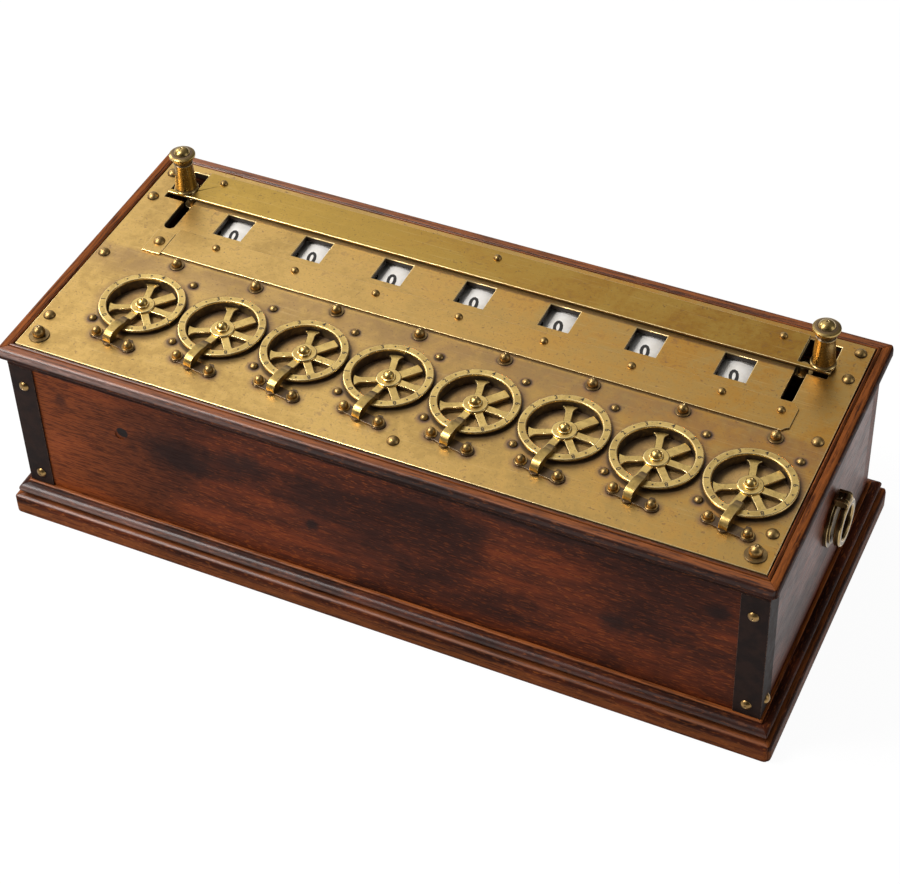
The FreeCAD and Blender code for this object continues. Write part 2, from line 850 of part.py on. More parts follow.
def stop_finger(x):
    """Return the bent finger of one stop: it leaves its nose, passes over the ring and comes down."""
    nose_x, nose_y = stop_nose
    turn = math.radians(stop_turn)
    base = 0.5 * stop_base_thickness
    under = ring_height + stop_gap
    ring_near = -nose_y - ring_outer_radius
    ring_far = -nose_y / math.cos(turn) - ring_inner_radius
    inner = ring_far + 0.9
    end = inner + stop_tip_length
    top = stop_rise
    tip = stop_tip_height
    outline = [
        [(0.0, base), (0.0, 0.3 * top)],
        [(0.0, 0.3 * top), (0.35 * stop_leg, 0.74 * top), (1.3 * stop_leg, 0.96 * top)],
        [(1.3 * stop_leg, 0.96 * top), (0.6 * ring_far, top), (0.9 * ring_far, 0.88 * top)],
        [(0.9 * ring_far, 0.88 * top), (0.97 * end, 0.66 * top), (end, tip + 0.9)],
        [(end, tip + 0.9), (end - 0.5, tip)],
        [(end - 0.5, tip), (inner, tip)],
        [(inner, tip), (inner - 0.1, 0.7 * under)],
        [(inner - 0.1, 0.7 * under), (inner - 0.9, under)],
        [(inner - 0.9, under), (ring_near, under)],
        [(ring_near, under), (0.5 * (stop_leg + ring_near), 0.8 * under), (stop_leg, base)],
        [(stop_leg, base), (0.0, base)],
    ]
    half = stop_width / 2.0
    pieces = [[(-half, u, plate_top_z + z) for u, z in piece] for piece in outline]
    finger = Part.Face(path_wire(pieces)).extrude(V(stop_width, 0, 0))
    taper_start = 0.75 * ring_far
    past = end + 1.0
    for side in (-1, 1):
        corners = [
            (side * half, taper_start), (side * 2 * half, taper_start),
            (side * 2 * half, past), (side * (half - stop_tip_taper), past),
        ]
        finger = finger.cut(prism([(u, v, plate_top_z) for u, v in corners], (0, 0, 2.0 * top)))
    finger.rotate(V(0, 0, 0), V(0, 0, 1), -stop_turn)
    finger.translate(V(x + nose_x, dial_y + nose_y, 0))
    return finger


def stop_fingers():
    """Return the eight stops, each a bent finger on a thin base held by two screws."""
    z0 = plate_top_z
    z1 = z0 + stop_base_thickness
    ax, ay = stop_left
    bx, by = stop_right
    run = math.hypot(bx - ax, by - ay)
    nx = -(by - ay) / run * stop_web_half_width
    ny = (bx - ax) / run * stop_web_half_width
    lug_x, lug_y = stop_lug
    w = stop_lug_half_width
    stops = []
    for x in dial_xs:
        web = prism(
            [
                (x + ax + nx, dial_y + ay + ny, z0), (x + ax - nx, dial_y + ay - ny, z0),
                (x + bx - nx, dial_y + by - ny, z0), (x + bx + nx, dial_y + by + ny, z0),
            ],
            (0, 0, stop_base_thickness),
        )
        ends = [
            rod(stop_end_radius, (x + px, dial_y + py, z0), (x + px, dial_y + py, z1))
            for px, py in (stop_left, stop_right)
        ]
        lug = prism(
            [
                (x + bx - 2.6 * w, dial_y + by, z0), (x + bx + 2.6 * w, dial_y + by, z0),
                (x + lug_x + w, dial_y + lug_y, z0), (x + lug_x - w, dial_y + lug_y, z0),
            ],
            (0, 0, stop_base_thickness),
        )
        foot_x = x + stop_nose[0]
        foot_y = dial_y + stop_nose[1] + 0.5 * stop_leg
        foot = rod(0.65 * stop_width, (foot_x, foot_y, z0), (foot_x, foot_y, z1))
        body = fuse([web, lug, foot, stop_finger(x)] + ends)
        stops.append(cut(body, [h for h in top_screw_holes() if abs(h.CenterOfMass.x - x) < dial_pitch / 2]))
    return stops


# Cover bar

def bar_screw_xs():
    """Return where the screws of the cover bar stand along it."""
    return (bar_left_x + bar_screw_insets[0], 0.0, bar_right_x - bar_screw_insets[1])


def cover_bar():
    """Return the sliding bar with its lip and the two round pads that carry the knobs."""
    low = bar_bottom_z
    high = bar_top_z
    plate = box(bar_left_x, bar_right_x, bar_front_y, bar_back_y, low, high)
    lip = box(bar_lip_left_x, bar_lip_right_x, bar_front_y, bar_front_y + bar_lip_width, low, high)
    parts = [plate, lip]
    for sx in (-1, 1):
        parts.append(rod(knob_pad_radius, (sx * knob_x, knob_y, low), (sx * knob_x, knob_y, high)))
    reach = knob_x + knob_pad_radius
    trim = box(-reach, reach, knob_y - 2 * knob_pad_radius, bar_front_y, low, high)
    screw_y = bar_back_y - bar_screw_back
    radius = shank_radius + shank_clearance
    holes = [rod(radius, (x, screw_y, low - 1), (x, screw_y, high + 1)) for x in bar_screw_xs()]
    return [cut(fuse(parts), [trim] + holes)]


def cover_bar_fasteners():
    """Return the bar's three screws, and the two headed studs under it that run in the slots."""
    y = bar_back_y - bar_screw_back
    fasteners = [screw(small_screw, (x, y, bar_top_z), (0, 0, 1), bar_thickness) for x in bar_screw_xs()]
    head_top = plate_bottom_z - stud_washer_gap
    head_low = head_top - stud_washer_thickness
    for x in (stud_left_x, stud_right_x):
        shank = rod(stud_radius, (x, stud_y, head_low), (x, stud_y, bar_bottom_z))
        head = rod(stud_washer_radius, (x, stud_y, head_low), (x, stud_y, head_top))
        fasteners.append(fuse([shank, head]))
    return fasteners


def cover_knobs():
    """Return the two turned knobs: foot, tapered column, collar, cone, rim and button."""
    h = knob_height
    foot = knob_foot_height
    w = knob_head_height
    head = knob_head_radius
    button = knob_button_radius
    neck = knob_neck_radius
    outline = [
        (0, 0), (0.95 * knob_foot_radius, 0), (knob_foot_radius, 0.2 * foot),
        (knob_foot_radius, 0.65 * foot), (0.94 * knob_foot_radius, 0.85 * foot), (knob_body_radius, foot),
        (neck, h - w), (1.08 * neck, h - 0.98 * w), (1.08 * neck, h - 0.92 * w), (0.96 * neck, h - 0.88 * w),
        (0.7 * head, h - 0.8 * w), (0.84 * head, h - 0.635 * w), (0.94 * head, h - 0.54 * w),
        (0.99 * head, h - 0.48 * w), (head, h - 0.42 * w), (0.975 * head, h - 0.365 * w),
        (0.85 * head, h - 0.31 * w), (1.13 * button, h - 0.28 * w), (1.03 * button, h - 0.295 * w),
        (button, h - 0.247 * w), (0.89 * button, h - 0.165 * w), (0.68 * button, h - 0.08 * w),
        (0.38 * button, h - 0.02 * w), (knob_dimple_radius, h), (0.6 * knob_dimple_radius, h - dimple_depth),
        (0, h - dimple_depth),
    ]
    return [turned(outline, (sx * knob_x, knob_y, bar_top_z), (0, 0, 1)) for sx in (-1, 1)]


# Movement

def toothed_disc(centre, y0, width, teeth, radius, phase):
    """Return a spur wheel about an axis along Y, with a tooth in the given direction."""
    module = 2.0 * radius / teeth
    tip = radius + 0.75 * module
    root = radius - 1.05 * module
    step = 360.0 / teeth
    tooth = [(root, -0.32), (radius, -0.21), (tip, -0.10), (tip, 0.10), (radius, 0.21), (root, 0.32)]
    points = []
    for i in range(teeth):
        middle = phase + i * step
        for r, part in tooth:
            a = math.radians(middle + part * step)
            points.append((centre[0] + r * math.cos(a), y0, centre[1] + r * math.sin(a)))
    return prism(points, (0, width, 0))


def ratchet_wheel(x):
    """Return the ratchet wheel that the pawl holds."""
    step = 360.0 / ratchet_teeth
    points = []
    for i in range(ratchet_teeth):
        for r, turn in ((ratchet_root_radius, 0.0), (ratchet_tip_radius, step)):
            a = math.radians(pawl_direction + i * step + turn)
            points.append((x + r * math.cos(a), ratchet_y, shaft_z + r * math.sin(a)))
    return prism(points, (0, ratchet_thickness, 0))


def gear_line():
    """Return the distance and direction from a main shaft to its drum shaft."""
    dx = window_shift_x
    dz = drum_z - shaft_z
    return math.hypot(dx, dz), math.degrees(math.atan2(dz, dx))


def main_shaft(index):
    """Return one main shaft with its crown, carry wheel, ratchet wheel and gear."""
    x = dial_xs[index]
    parts = [
        rod(shaft_radius, (x, front_bar_back_y + 0.2, shaft_z), (x, middle_plate_y - 0.2, shaft_z)),
        rod(pivot_radius, (x, front_bar_y, shaft_z), (x, middle_plate_back_y, shaft_z)),
        rod(crown_radius, (x, shaft_crown_y, shaft_z), (x, shaft_crown_y + crown_thickness, shaft_z)),
        ratchet_wheel(x),
    ]
    parts += pin_ring(
        digits, crown_pin_circle, crown_pin_radius, (x, shaft_crown_y + 0.5, shaft_z), "y", -1,
        crown_pin_length + 0.5, 180.0 / digits,
    )
    if index > 0:
        back = carry_wheel_y + carry_wheel_thickness
        parts.append(rod(carry_wheel_radius, (x, carry_wheel_y, shaft_z), (x, back, shaft_z)))
        for turn in (45.0, 135.0):
            a = math.radians(turn)
            px = x + carry_pin_circle * math.sin(a)
            pz = shaft_z + carry_pin_circle * math.cos(a)
            parts.append(rod(crown_pin_radius, (px, back - 0.5, pz), (px, back + carry_pin_length, pz)))
    if index < window_count:
        distance, direction = gear_line()
        parts.append(toothed_disc((x, shaft_z), gear_y, gear_width, gear_teeth, distance / 2.0, direction))
    return fuse(parts)


def number_drum(index):
    """Return one number drum with its shaft and gear."""
    x = window_xs[index]
    distance, direction = gear_line()
    half_tooth = 180.0 / gear_teeth
    phase = direction + 180.0 + half_tooth
    gear = toothed_disc((x, drum_z), gear_y, gear_width, gear_teeth, distance / 2.0, phase)
    shaft = rod(pivot_radius, (x, gear_y - drum_end_gap, drum_z), (x, rear_plate_back_y, drum_z))
    skin = rod(drum_radius, (x, drum_front_y, drum_z), (x, drum_back_y, drum_z))
    hollow_y = drum_front_y + drum_wall
    hollow = rod(drum_radius - drum_wall, (x, hollow_y, drum_z), (x, drum_back_y + 1.0, drum_z))
    hub = rod(pivot_radius + drum_hub_wall, (x, drum_front_y, drum_z), (x, drum_back_y, drum_z))
    wall_radius = drum_radius - 0.5 * drum_wall
    wall_y = drum_back_y - 4.0 * drum_wall
    rear_wall = rod(wall_radius, (x, wall_y, drum_z), (x, wall_y + drum_wall, drum_z))
    return fuse([skin.cut(hollow), hub, rear_wall, shaft, gear])


def carry_lever(index):
    """Return the weighted lever that takes the carry from the next dial on the right."""
    x = dial_xs[index]
    y0 = lever_y
    y1 = y0 + lever_thickness
    tip = dial_pitch - carry_pin_circle - crown_pin_radius - lever_pin_gap
    reach = tip - lever_finger_width
    low = shaft_z - lever_half_height
    high = shaft_z + lever_half_height
    hub = rod(lever_hub_radius, (x, y0, shaft_z), (x, y1, shaft_z))
    arm = box(x, x + tip, y0, y1, low, high)
    finger_front_y = carry_wheel_y + carry_wheel_thickness + 1.0
    finger = box(x + reach, x + tip, finger_front_y, y1, low, high)
    weight_x = x + lever_weight_place
    weight_z = low - lever_weight_drop
    weight = box(weight_x, weight_x + lever_weight_length, y0, y1, weight_z, shaft_z)
    bore = rod(shaft_radius + running_clearance, (x, y0 - 1, shaft_z), (x, y1 + 1, shaft_z))
    return fuse([hub, arm, finger, weight]).cut(bore)


def pawl_places(x):
    """Return the tip and the pivot of a pawl, as (x, z) pairs."""
    a = math.radians(pawl_direction + pawl_lead)
    r = ratchet_tip_radius + pawl_gap
    out = (math.cos(a), math.sin(a))
    along = (-math.sin(a), math.cos(a))
    s = math.sin(math.radians(pawl_slope)) * pawl_length
    c = math.cos(math.radians(pawl_slope)) * pawl_length
    tip = (x + r * out[0], shaft_z + r * out[1])
    pivot = (tip[0] + s * out[0] + c * along[0], tip[1] + s * out[1] + c * along[1])
    return tip, pivot


def pawl(index):
    """Return the pawl that stops one main shaft from turning back."""
    x = dial_xs[index]
    tip, pivot = pawl_places(x)
    dx = tip[0] - pivot[0]
    dz = tip[1] - pivot[1]
    length = math.hypot(dx, dz)
    ux, uz = dx / length, dz / length
    half = pawl_hub_radius * 0.97
    nose = 0.12
    y0 = ratchet_y
    blade = prism(
        [
            (pivot[0] - uz * half, y0, pivot[1] + ux * half),
            (tip[0] - uz * nose, y0, tip[1] + ux * nose),
            (tip[0] + uz * nose, y0, tip[1] - ux * nose),
            (pivot[0] + uz * half, y0, pivot[1] - ux * half),
        ],
        (0, ratchet_thickness, 0),
    )
    hub = rod(pawl_hub_radius, (pivot[0], y0, pivot[1]), (pivot[0], y0 + ratchet_thickness, pivot[1]))
    bore = rod(bearing_radius, (pivot[0], y0 - 1, pivot[1]), (pivot[0], y0 + ratchet_thickness + 1, pivot[1]))
    return fuse([blade, hub]).cut(bore)


def movement_frame():
    """Return the bearing bars, the arbor bridge and the tie rods, each its own solid."""
    half = frame_half_length
    top = plate_bottom_z
    y0 = front_bar_y - 1
    y1 = middle_plate_back_y + 1
    y2 = rear_plate_back_y + 1
    shaft_holes = [rod(bearing_radius, (x, y0, shaft_z), (x, y1, shaft_z)) for x in dial_xs]
    drum_holes = [rod(bearing_radius, (x, gear_y, drum_z), (x, y2, drum_z)) for x in window_xs]
    front = box(-half, half, front_bar_y, front_bar_back_y, frame_bottom_z, top)
    front = cut(front, shaft_holes + top_screw_holes())
    middle_top = top - plate_lug_height
    middle = box(-half, half, middle_plate_y, middle_plate_back_y, frame_bottom_z, middle_top)
    lug_half = plate_lug_width / 2.0
    lugs = []
    for i in tie_columns:
        x = dial_xs[i] + dial_pitch / 2.0
        low = middle_top - 1.0
        lugs.append(box(x - lug_half, x + lug_half, middle_plate_y, middle_plate_back_y, low, top))
    posts = []
    for x in dial_xs:
        _, pivot = pawl_places(x)
        start = (pivot[0], ratchet_y - running_clearance * 10, pivot[1])
        posts.append(rod(pivot_radius, start, (pivot[0], middle_plate_y + 0.5, pivot[1])))
    middle = cut(fuse([middle] + lugs + posts), shaft_holes + drum_holes)
    rear_half = half - rear_plate_inset
    rear_top = drum_z + rear_plate_rise
    rear = box(-rear_half, rear_half, rear_plate_y, rear_plate_back_y, frame_bottom_z, rear_top)
    bridge = [box(-half, half, dial_y - bridge_front, dial_y + bridge_front, bridge_bottom_z, bridge_top_z)]
    ties = []
    for i in tie_columns:
        x = dial_xs[i] + dial_pitch / 2.0
        reach = bridge_arm_width / 2.0
        bridge.append(box(x - reach, x + reach, front_bar_back_y, dial_y, bridge_bottom_z, bridge_top_z))
        ties.append(rod(tie_radius, (x, front_bar_back_y, tie_z), (x, middle_plate_y, tie_z)))
        ties.append(rod(tie_radius, (x, middle_plate_back_y, tie_z), (x, rear_plate_y, tie_z)))
    arbor_holes = [
        rod(bearing_radius, (x, dial_y, bridge_bottom_z - 1), (x, dial_y, bridge_top_z + 1)) for x in dial_xs
    ]
    return [front, middle, cut(rear, drum_holes), cut(fuse(bridge), arbor_holes)] + ties


# Ring pulls

def handle_rosettes():
    """Return the two round back plates, each with its ears and hinge pin."""
    plates = []
    for side in (-1, 1):
        x0 = side * case_half_length
        x1 = x0 + side * rosette_thickness
        x2 = x1 + side * rosette_step
        pivot_x = x0 + side * pull_pivot_out
        pivot_z = pull_z + pull_pivot_rise
        disc = rod(rosette_radius, (x0, pull_y, pull_z), (x1, pull_y, pull_z))
        step = rod(rosette_step_radius, (x0, pull_y, pull_z), (x2, pull_y, pull_z))
        near = pull_neck_half_width + pull_ear_gap
        far = near + pull_ear_thickness
        parts = [disc, step]
        for way in (-1, 1):
            y0, y1 = sorted((pull_y + way * near, pull_y + way * far))
            ex0, ex1 = sorted((x1 - side * 0.5, pivot_x))
            parts.append(box(ex0, ex1, y0, y1, pivot_z - pull_neck_radius, pivot_z + pull_neck_radius))
            parts.append(rod(pull_neck_radius, (pivot_x, y0, pivot_z), (pivot_x, y1, pivot_z)))
        parts.append(rod(pull_pin_radius, (pivot_x, pull_y - far, pivot_z), (pivot_x, pull_y + far, pivot_z)))
        plates.append(fuse(parts))
    return plates


def ring_handle(side):
    """Return one drop ring with the neck that turns on the hinge pin."""
    x = side * (case_half_length + pull_pivot_out)
    pivot_z = pull_z + pull_pivot_rise
    d = pull_depth / 2.0
    b = pull_band
    r = pull_radius
    e = pull_edge
    outline = [
        (r - b, -d + e), (r - b + e, -d), (r + b - e, -d), (r + b, -d + e),
        (r + b, d - e), (r + b - e, d), (r - b + e, d), (r - b, d - e),
    ]
    ring = turned(outline, (x, pull_y, pull_z), (1, 0, 0))
    w = pull_neck_half_width
    neck = rod(pull_neck_radius, (x, pull_y - w, pivot_z), (x, pull_y + w, pivot_z))
    link_half = pull_neck_radius * 2.0 / 3.0
    link = box(x - link_half, x + link_half, pull_y - w, pull_y + w, pull_z + r - e, pivot_z)
    radius = pull_pin_radius + running_clearance
    bore = rod(radius, (x, pull_y - w - 1, pivot_z), (x, pull_y + w + 1, pivot_z))
    return fuse([ring, neck, link]).cut(bore)


def main():
    """Build every piece and write it."""
    os.makedirs("parts", exist_ok=True)
    save("base_moulding", base_moulding())
    for name, solids in case_panels().items():
        save(name, solids)
    save("corner_strips", corner_strips())
    save("corner_strip_screws", case_screws())
    save("lid_moulding", lid_moulding())
    save("top_plate", top_plate())
    save("window_strip", window_strip())
    save("top_plate_screws", top_screws())
    save("dial_rings", dial_rings())
    save("dial_floors", dial_floors())
    save("stop_fingers", stop_fingers())
    save("cover_bar", cover_bar())
    save("cover_bar_fasteners", cover_bar_fasteners())
    save("cover_bar_knobs", cover_knobs())
    save("movement_frame", movement_frame())
    save("handle_rosettes", handle_rosettes())
    save("ring_handle_left", [ring_handle(-1)])
    save("ring_handle_right", [ring_handle(1)])
    for i in range(dial_count):
        save("dial_wheel_%d" % (i + 1), [dial_wheel(dial_xs[i])])
        save("main_shaft_%d" % (i + 1), [main_shaft(i)])
        save("pawl_%d" % (i + 1), [pawl(i)])
    for i in range(window_count):
        save("number_drum_%d" % (i + 1), [number_drum(i)])
    for i in range(dial_count - 1):
        save("carry_lever_%d" % (i + 1), [carry_lever(i)])


main()
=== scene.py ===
"""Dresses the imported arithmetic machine: a wooden case with a brass top, spoked dials and number drums."""

import logging
import math
from dataclasses import dataclass, field, replace
from enum import Enum
from typing import Callable, Iterable, Optional, Sequence, Union

import bmesh
import bpy
from mathutils import Matrix, Vector


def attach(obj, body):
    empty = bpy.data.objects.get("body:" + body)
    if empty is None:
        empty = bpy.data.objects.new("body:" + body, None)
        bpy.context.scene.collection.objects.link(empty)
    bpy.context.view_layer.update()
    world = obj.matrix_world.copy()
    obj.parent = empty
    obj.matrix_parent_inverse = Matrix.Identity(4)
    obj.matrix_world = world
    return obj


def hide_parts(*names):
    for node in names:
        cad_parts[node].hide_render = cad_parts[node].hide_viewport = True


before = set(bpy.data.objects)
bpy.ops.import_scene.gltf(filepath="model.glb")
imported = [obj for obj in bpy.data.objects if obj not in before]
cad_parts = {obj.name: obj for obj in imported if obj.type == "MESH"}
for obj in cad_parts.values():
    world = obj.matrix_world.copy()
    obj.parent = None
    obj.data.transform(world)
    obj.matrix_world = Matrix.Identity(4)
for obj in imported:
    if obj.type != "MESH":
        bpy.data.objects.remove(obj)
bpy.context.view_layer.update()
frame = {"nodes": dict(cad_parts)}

logging.basicConfig(level=logging.INFO, format="%(message)s")
LOG = logging.getLogger("arithmetic_machine")

MM = 0.001
DIGITS = 10
DIGIT_STEP = 360.0 / DIGITS
Colour = tuple[float, float, float]
Span = tuple[float, float]


def show(name: str, data: bpy.types.ID) -> bpy.types.Object:
    """Add an object with its data to the scene."""
    made = bpy.data.objects.new(name, data)
    bpy.context.scene.collection.objects.link(made)
    return made


class Grain(Enum):
    """Which way the grain of a wooden piece runs."""

    LENGTH = "length"
    DEPTH = "depth"
    MITRED = "mitred"


def math_method(operation: str, swapped: bool = False) -> Callable[..., "Value"]:
    """Return a method of Value that feeds it and its other terms to one Math node.

    Args:
        operation: the Math node's operation.
        swapped: whether the other term comes first.

    Returns:
        The method.
    """

    def method(self: "Value", *others: Union["Value", float]) -> "Value":
        """Return the Math node's output."""
        terms = (*others, self) if swapped else (self, *others)
        return self.surface.node("ShaderNodeMath", {"operation": operation}, dict(enumerate(terms)))

    return method


class Value:
    """A socket of a node tree that can stand in a Python expression.

    Of two values, least returns the lower, most the higher, and over 1 where the first is higher and 0 elsewhere.
    """

    __add__ = math_method("ADD")
    __radd__ = math_method("ADD", swapped=True)
    __sub__ = math_method("SUBTRACT")
    __rsub__ = math_method("SUBTRACT", swapped=True)
    __mul__ = math_method("MULTIPLY")
    __rmul__ = math_method("MULTIPLY", swapped=True)
    __abs__ = math_method("ABSOLUTE")
    root = math_method("SQRT")
    nearest = math_method("ROUND")
    least = math_method("MINIMUM")
    most = math_method("MAXIMUM")
    over = math_method("GREATER_THAN")

    def __init__(self, surface: "Surface", socket: bpy.types.NodeSocket) -> None:
        """Keep the socket and the surface that it belongs to."""
        self.surface = surface
        self.socket = socket

    def ease(self, low: float, high: float, start: float = 0.0, end: float = 1.0) -> "Value":
        """Return a smooth step between two levels.

        Args:
            low: the level where the step begins.
            high: the level where it is done.
            start: the result below the step.
            end: the result past the step.

        Returns:
            The eased value, held between start and end.
        """
        return self.surface.node(
            "ShaderNodeMapRange", {"interpolation_type": "SMOOTHSTEP", "clamp": True},
            {0: self, 1: low, 2: high, 3: start, 4: end},
        )


def distance(across: Value, up: Value) -> Value:
    """Return the length of a slant that goes so far across and so far up."""
    return (across * across + up * up).root()


def strongest(masks: Sequence[Value]) -> Value:
    """Return the highest of several masks at each place."""
    total = masks[0]
    for mask in masks[1:]:
        total = total.most(mask)
    return total


@dataclass(frozen=True)
class Cloud:
    """A kind of noise, whose values lie mostly between 0.3 and 0.7.

    The size is that of its largest clouds, in millimetres. Detail is how many finer layers it has, rough how
    strong they are, and warp how much it is distorted. A stretch under 1 draws the clouds out that way.
    """

    size: float
    detail: float = 4.0
    rough: float = 0.6
    warp: float = 0.0
    stretch: Optional[tuple[float, float, float]] = None


class Surface:
    """The node tree of a finish or of the world, built from values."""

    def __init__(self, owner: Union[bpy.types.Material, bpy.types.World]) -> None:
        """Start an empty tree for a material or a world."""
        owner.use_nodes = True
        self.owner = owner
        self.tree = owner.node_tree
        self.tree.nodes.clear()

    def node(self, kind: str, settings: Optional[dict] = None, values: Optional[dict] = None,
             output: Union[int, str] = 0) -> Value:
        """Add a node, set it and feed its sockets.

        Args:
            kind: the node's type.
            settings: its own settings, set first.
            values: what goes into its sockets, by name or number.
            output: the output that is returned.

        Returns:
            The chosen output.
        """
        made = self.tree.nodes.new(kind)
        for name, setting in (settings or {}).items():
            setattr(made, name, setting)
        for key, value in (values or {}).items():
            self.feed(made.inputs[key], value)
        return Value(self, made.outputs[output])

    def feed(self, socket: bpy.types.NodeSocket, value: Union[Value, float, Sequence[float]]) -> None:
        """Link a value to a socket, or set the socket to a number or a colour."""
        if isinstance(value, Value):
            self.tree.links.new(value.socket, socket)
        elif socket.type == "RGBA" and not isinstance(value, (int, float)):
            socket.default_value = (*value[:3], 1.0)
        else:
            socket.default_value = value

    def place(self) -> Value:
        """Return the place on the piece, in millimetres."""
        spot = self.node("ShaderNodeTexCoord", output="Object")
        return self.node("ShaderNodeVectorMath", {"operation": "SCALE"}, {0: spot, "Scale": 1.0 / MM})

    def split(self, vector: Value) -> tuple[Value, Value, Value]:
        """Return the three parts of a vector."""
        parts = self.node("ShaderNodeSeparateXYZ", values={0: vector})
        outputs = parts.socket.node.outputs
        return Value(self, outputs[0]), Value(self, outputs[1]), Value(self, outputs[2])

    def shift(self, vector: Value, offset: Sequence[float]) -> Value:
        """Return a vector moved by an offset."""
        return self.node("ShaderNodeVectorMath", {"operation": "ADD"}, {0: vector, 1: offset})

    def noise(self, vector: Value, kind: Cloud) -> Value:
        """Return one kind of noise at a place in millimetres."""
        if kind.stretch is not None:
            vector = self.node("ShaderNodeVectorMath", {"operation": "MULTIPLY"}, {0: vector, 1: kind.stretch})
        return self.node(
            "ShaderNodeTexNoise", None,
            {"Vector": vector, "Scale": 1.0 / kind.size, "Detail": kind.detail, "Roughness": kind.rough,
             "Distortion": kind.warp},
        )

    def mix(self, share: Union[Value, float], first: Union[Value, Colour], second: Union[Value, Colour]) -> Value:
        """Return a mix of two colours."""
        return self.node("ShaderNodeMix", {"data_type": "RGBA"}, {0: share, 6: first, 7: second}, 2)

    def blend(self, share: Value, first: Value, second: Value) -> Value:
        """Return a mix of two vectors."""
        return self.node("ShaderNodeMix", {"data_type": "VECTOR"}, {0: share, 4: first, 5: second}, 1)

    def mark(self, name: str) -> Value:
        """Return a value that is stored on the mesh."""
        return self.node("ShaderNodeAttribute", {"attribute_name": name}, output="Fac")

    def bump(self, height: Value, depth: float) -> Value:
        """Return normals for a height, with its full depth in millimetres."""
        return self.node("ShaderNodeBump", None, {"Strength": 1.0, "Distance": depth * MM, "Height": height})

    def close(self, shader: Value, output: str = "ShaderNodeOutputMaterial") -> bpy.types.ID:
        """Join a shader to the output and return the tree's owner."""
        out = self.tree.nodes.new(output)
        self.tree.links.new(shader.socket, out.inputs["Surface"])
        return self.owner

    def principled(self, **values: Union[Value, float, Sequence[float]]) -> bpy.types.Material:
        """Finish the material with one Principled shader.

        Args:
            values: its sockets, named with underscores for spaces.

        Returns:
            The finished material.
        """
        named = {name.replace("_", " "): value for name, value in values.items()}
        return self.close(self.node("ShaderNodeBsdfPrincipled", None, named))


@dataclass(frozen=True)
class Columns:
    """The repeated places along the machine, one for each dial, in millimetres."""

    pitch: float = 39.8
    first_x: float = -130.4
    dial_y: float = -27.5
    ring_radius: float = 19.2
    count: int = 8

    def xs(self) -> list[float]:
        """Return where the dials stand along the machine."""
        return [self.first_x + self.pitch * i for i in range(self.count)]

    def across(self, x: Value) -> Value:
        """Return how far a place lies to the right of the nearest dial's middle."""
        index = ((x - self.first_x) * (1.0 / self.pitch)).nearest().most(0.0).least(self.count - 1.0)
        return x - (index * self.pitch + self.first_x)

    def gap(self, x: Value, y: Value, dx: float = 0.0, dy: float = 0.0) -> Value:
        """Return how far a place lies from the nearest dial's middle, or from a spot beside it."""
        across = self.across(x) - dx
        forward = y - (self.dial_y + dy)
        return distance(across, forward)


COLUMNS = Columns()

WOOD_CLOUDS = Cloud(42.0, warp=0.3, stretch=(0.55, 1.0, 1.0))
WOOD_FIGURE = Cloud(5.0, warp=0.2, stretch=(0.08, 1.0, 1.0))
WOOD_FIBRE = Cloud(0.6, 2.0, stretch=(0.09, 1.0, 1.0))
WOOD_FLECK = Cloud(0.8, 2.0, 0.5, stretch=(0.24, 1.0, 1.0))
WOOD_RUBBING = Cloud(1.1, rough=0.7, stretch=(0.05, 1.0, 1.0))
STAIN_EDGE = Cloud(9.0, rough=0.65)
BRASS_CLOUDS = Cloud(26.0, warp=0.4)
BRASS_BLOTCH = Cloud(8.0, rough=0.65, warp=0.5)
BRASS_MOTTLE = Cloud(3.4, rough=0.65, warp=0.6)
BRASS_PITS = Cloud(1.8, 1.0, 0.5)
BRASS_SPECKS = Cloud(0.9, 2.0)
BRASS_STREAKS = Cloud(1.0, 3.0, stretch=(0.03, 1.4, 1.4))
BRASS_SCRATCH = Cloud(1.0, 2.0, 0.5, stretch=(0.05, 1.6, 1.6))


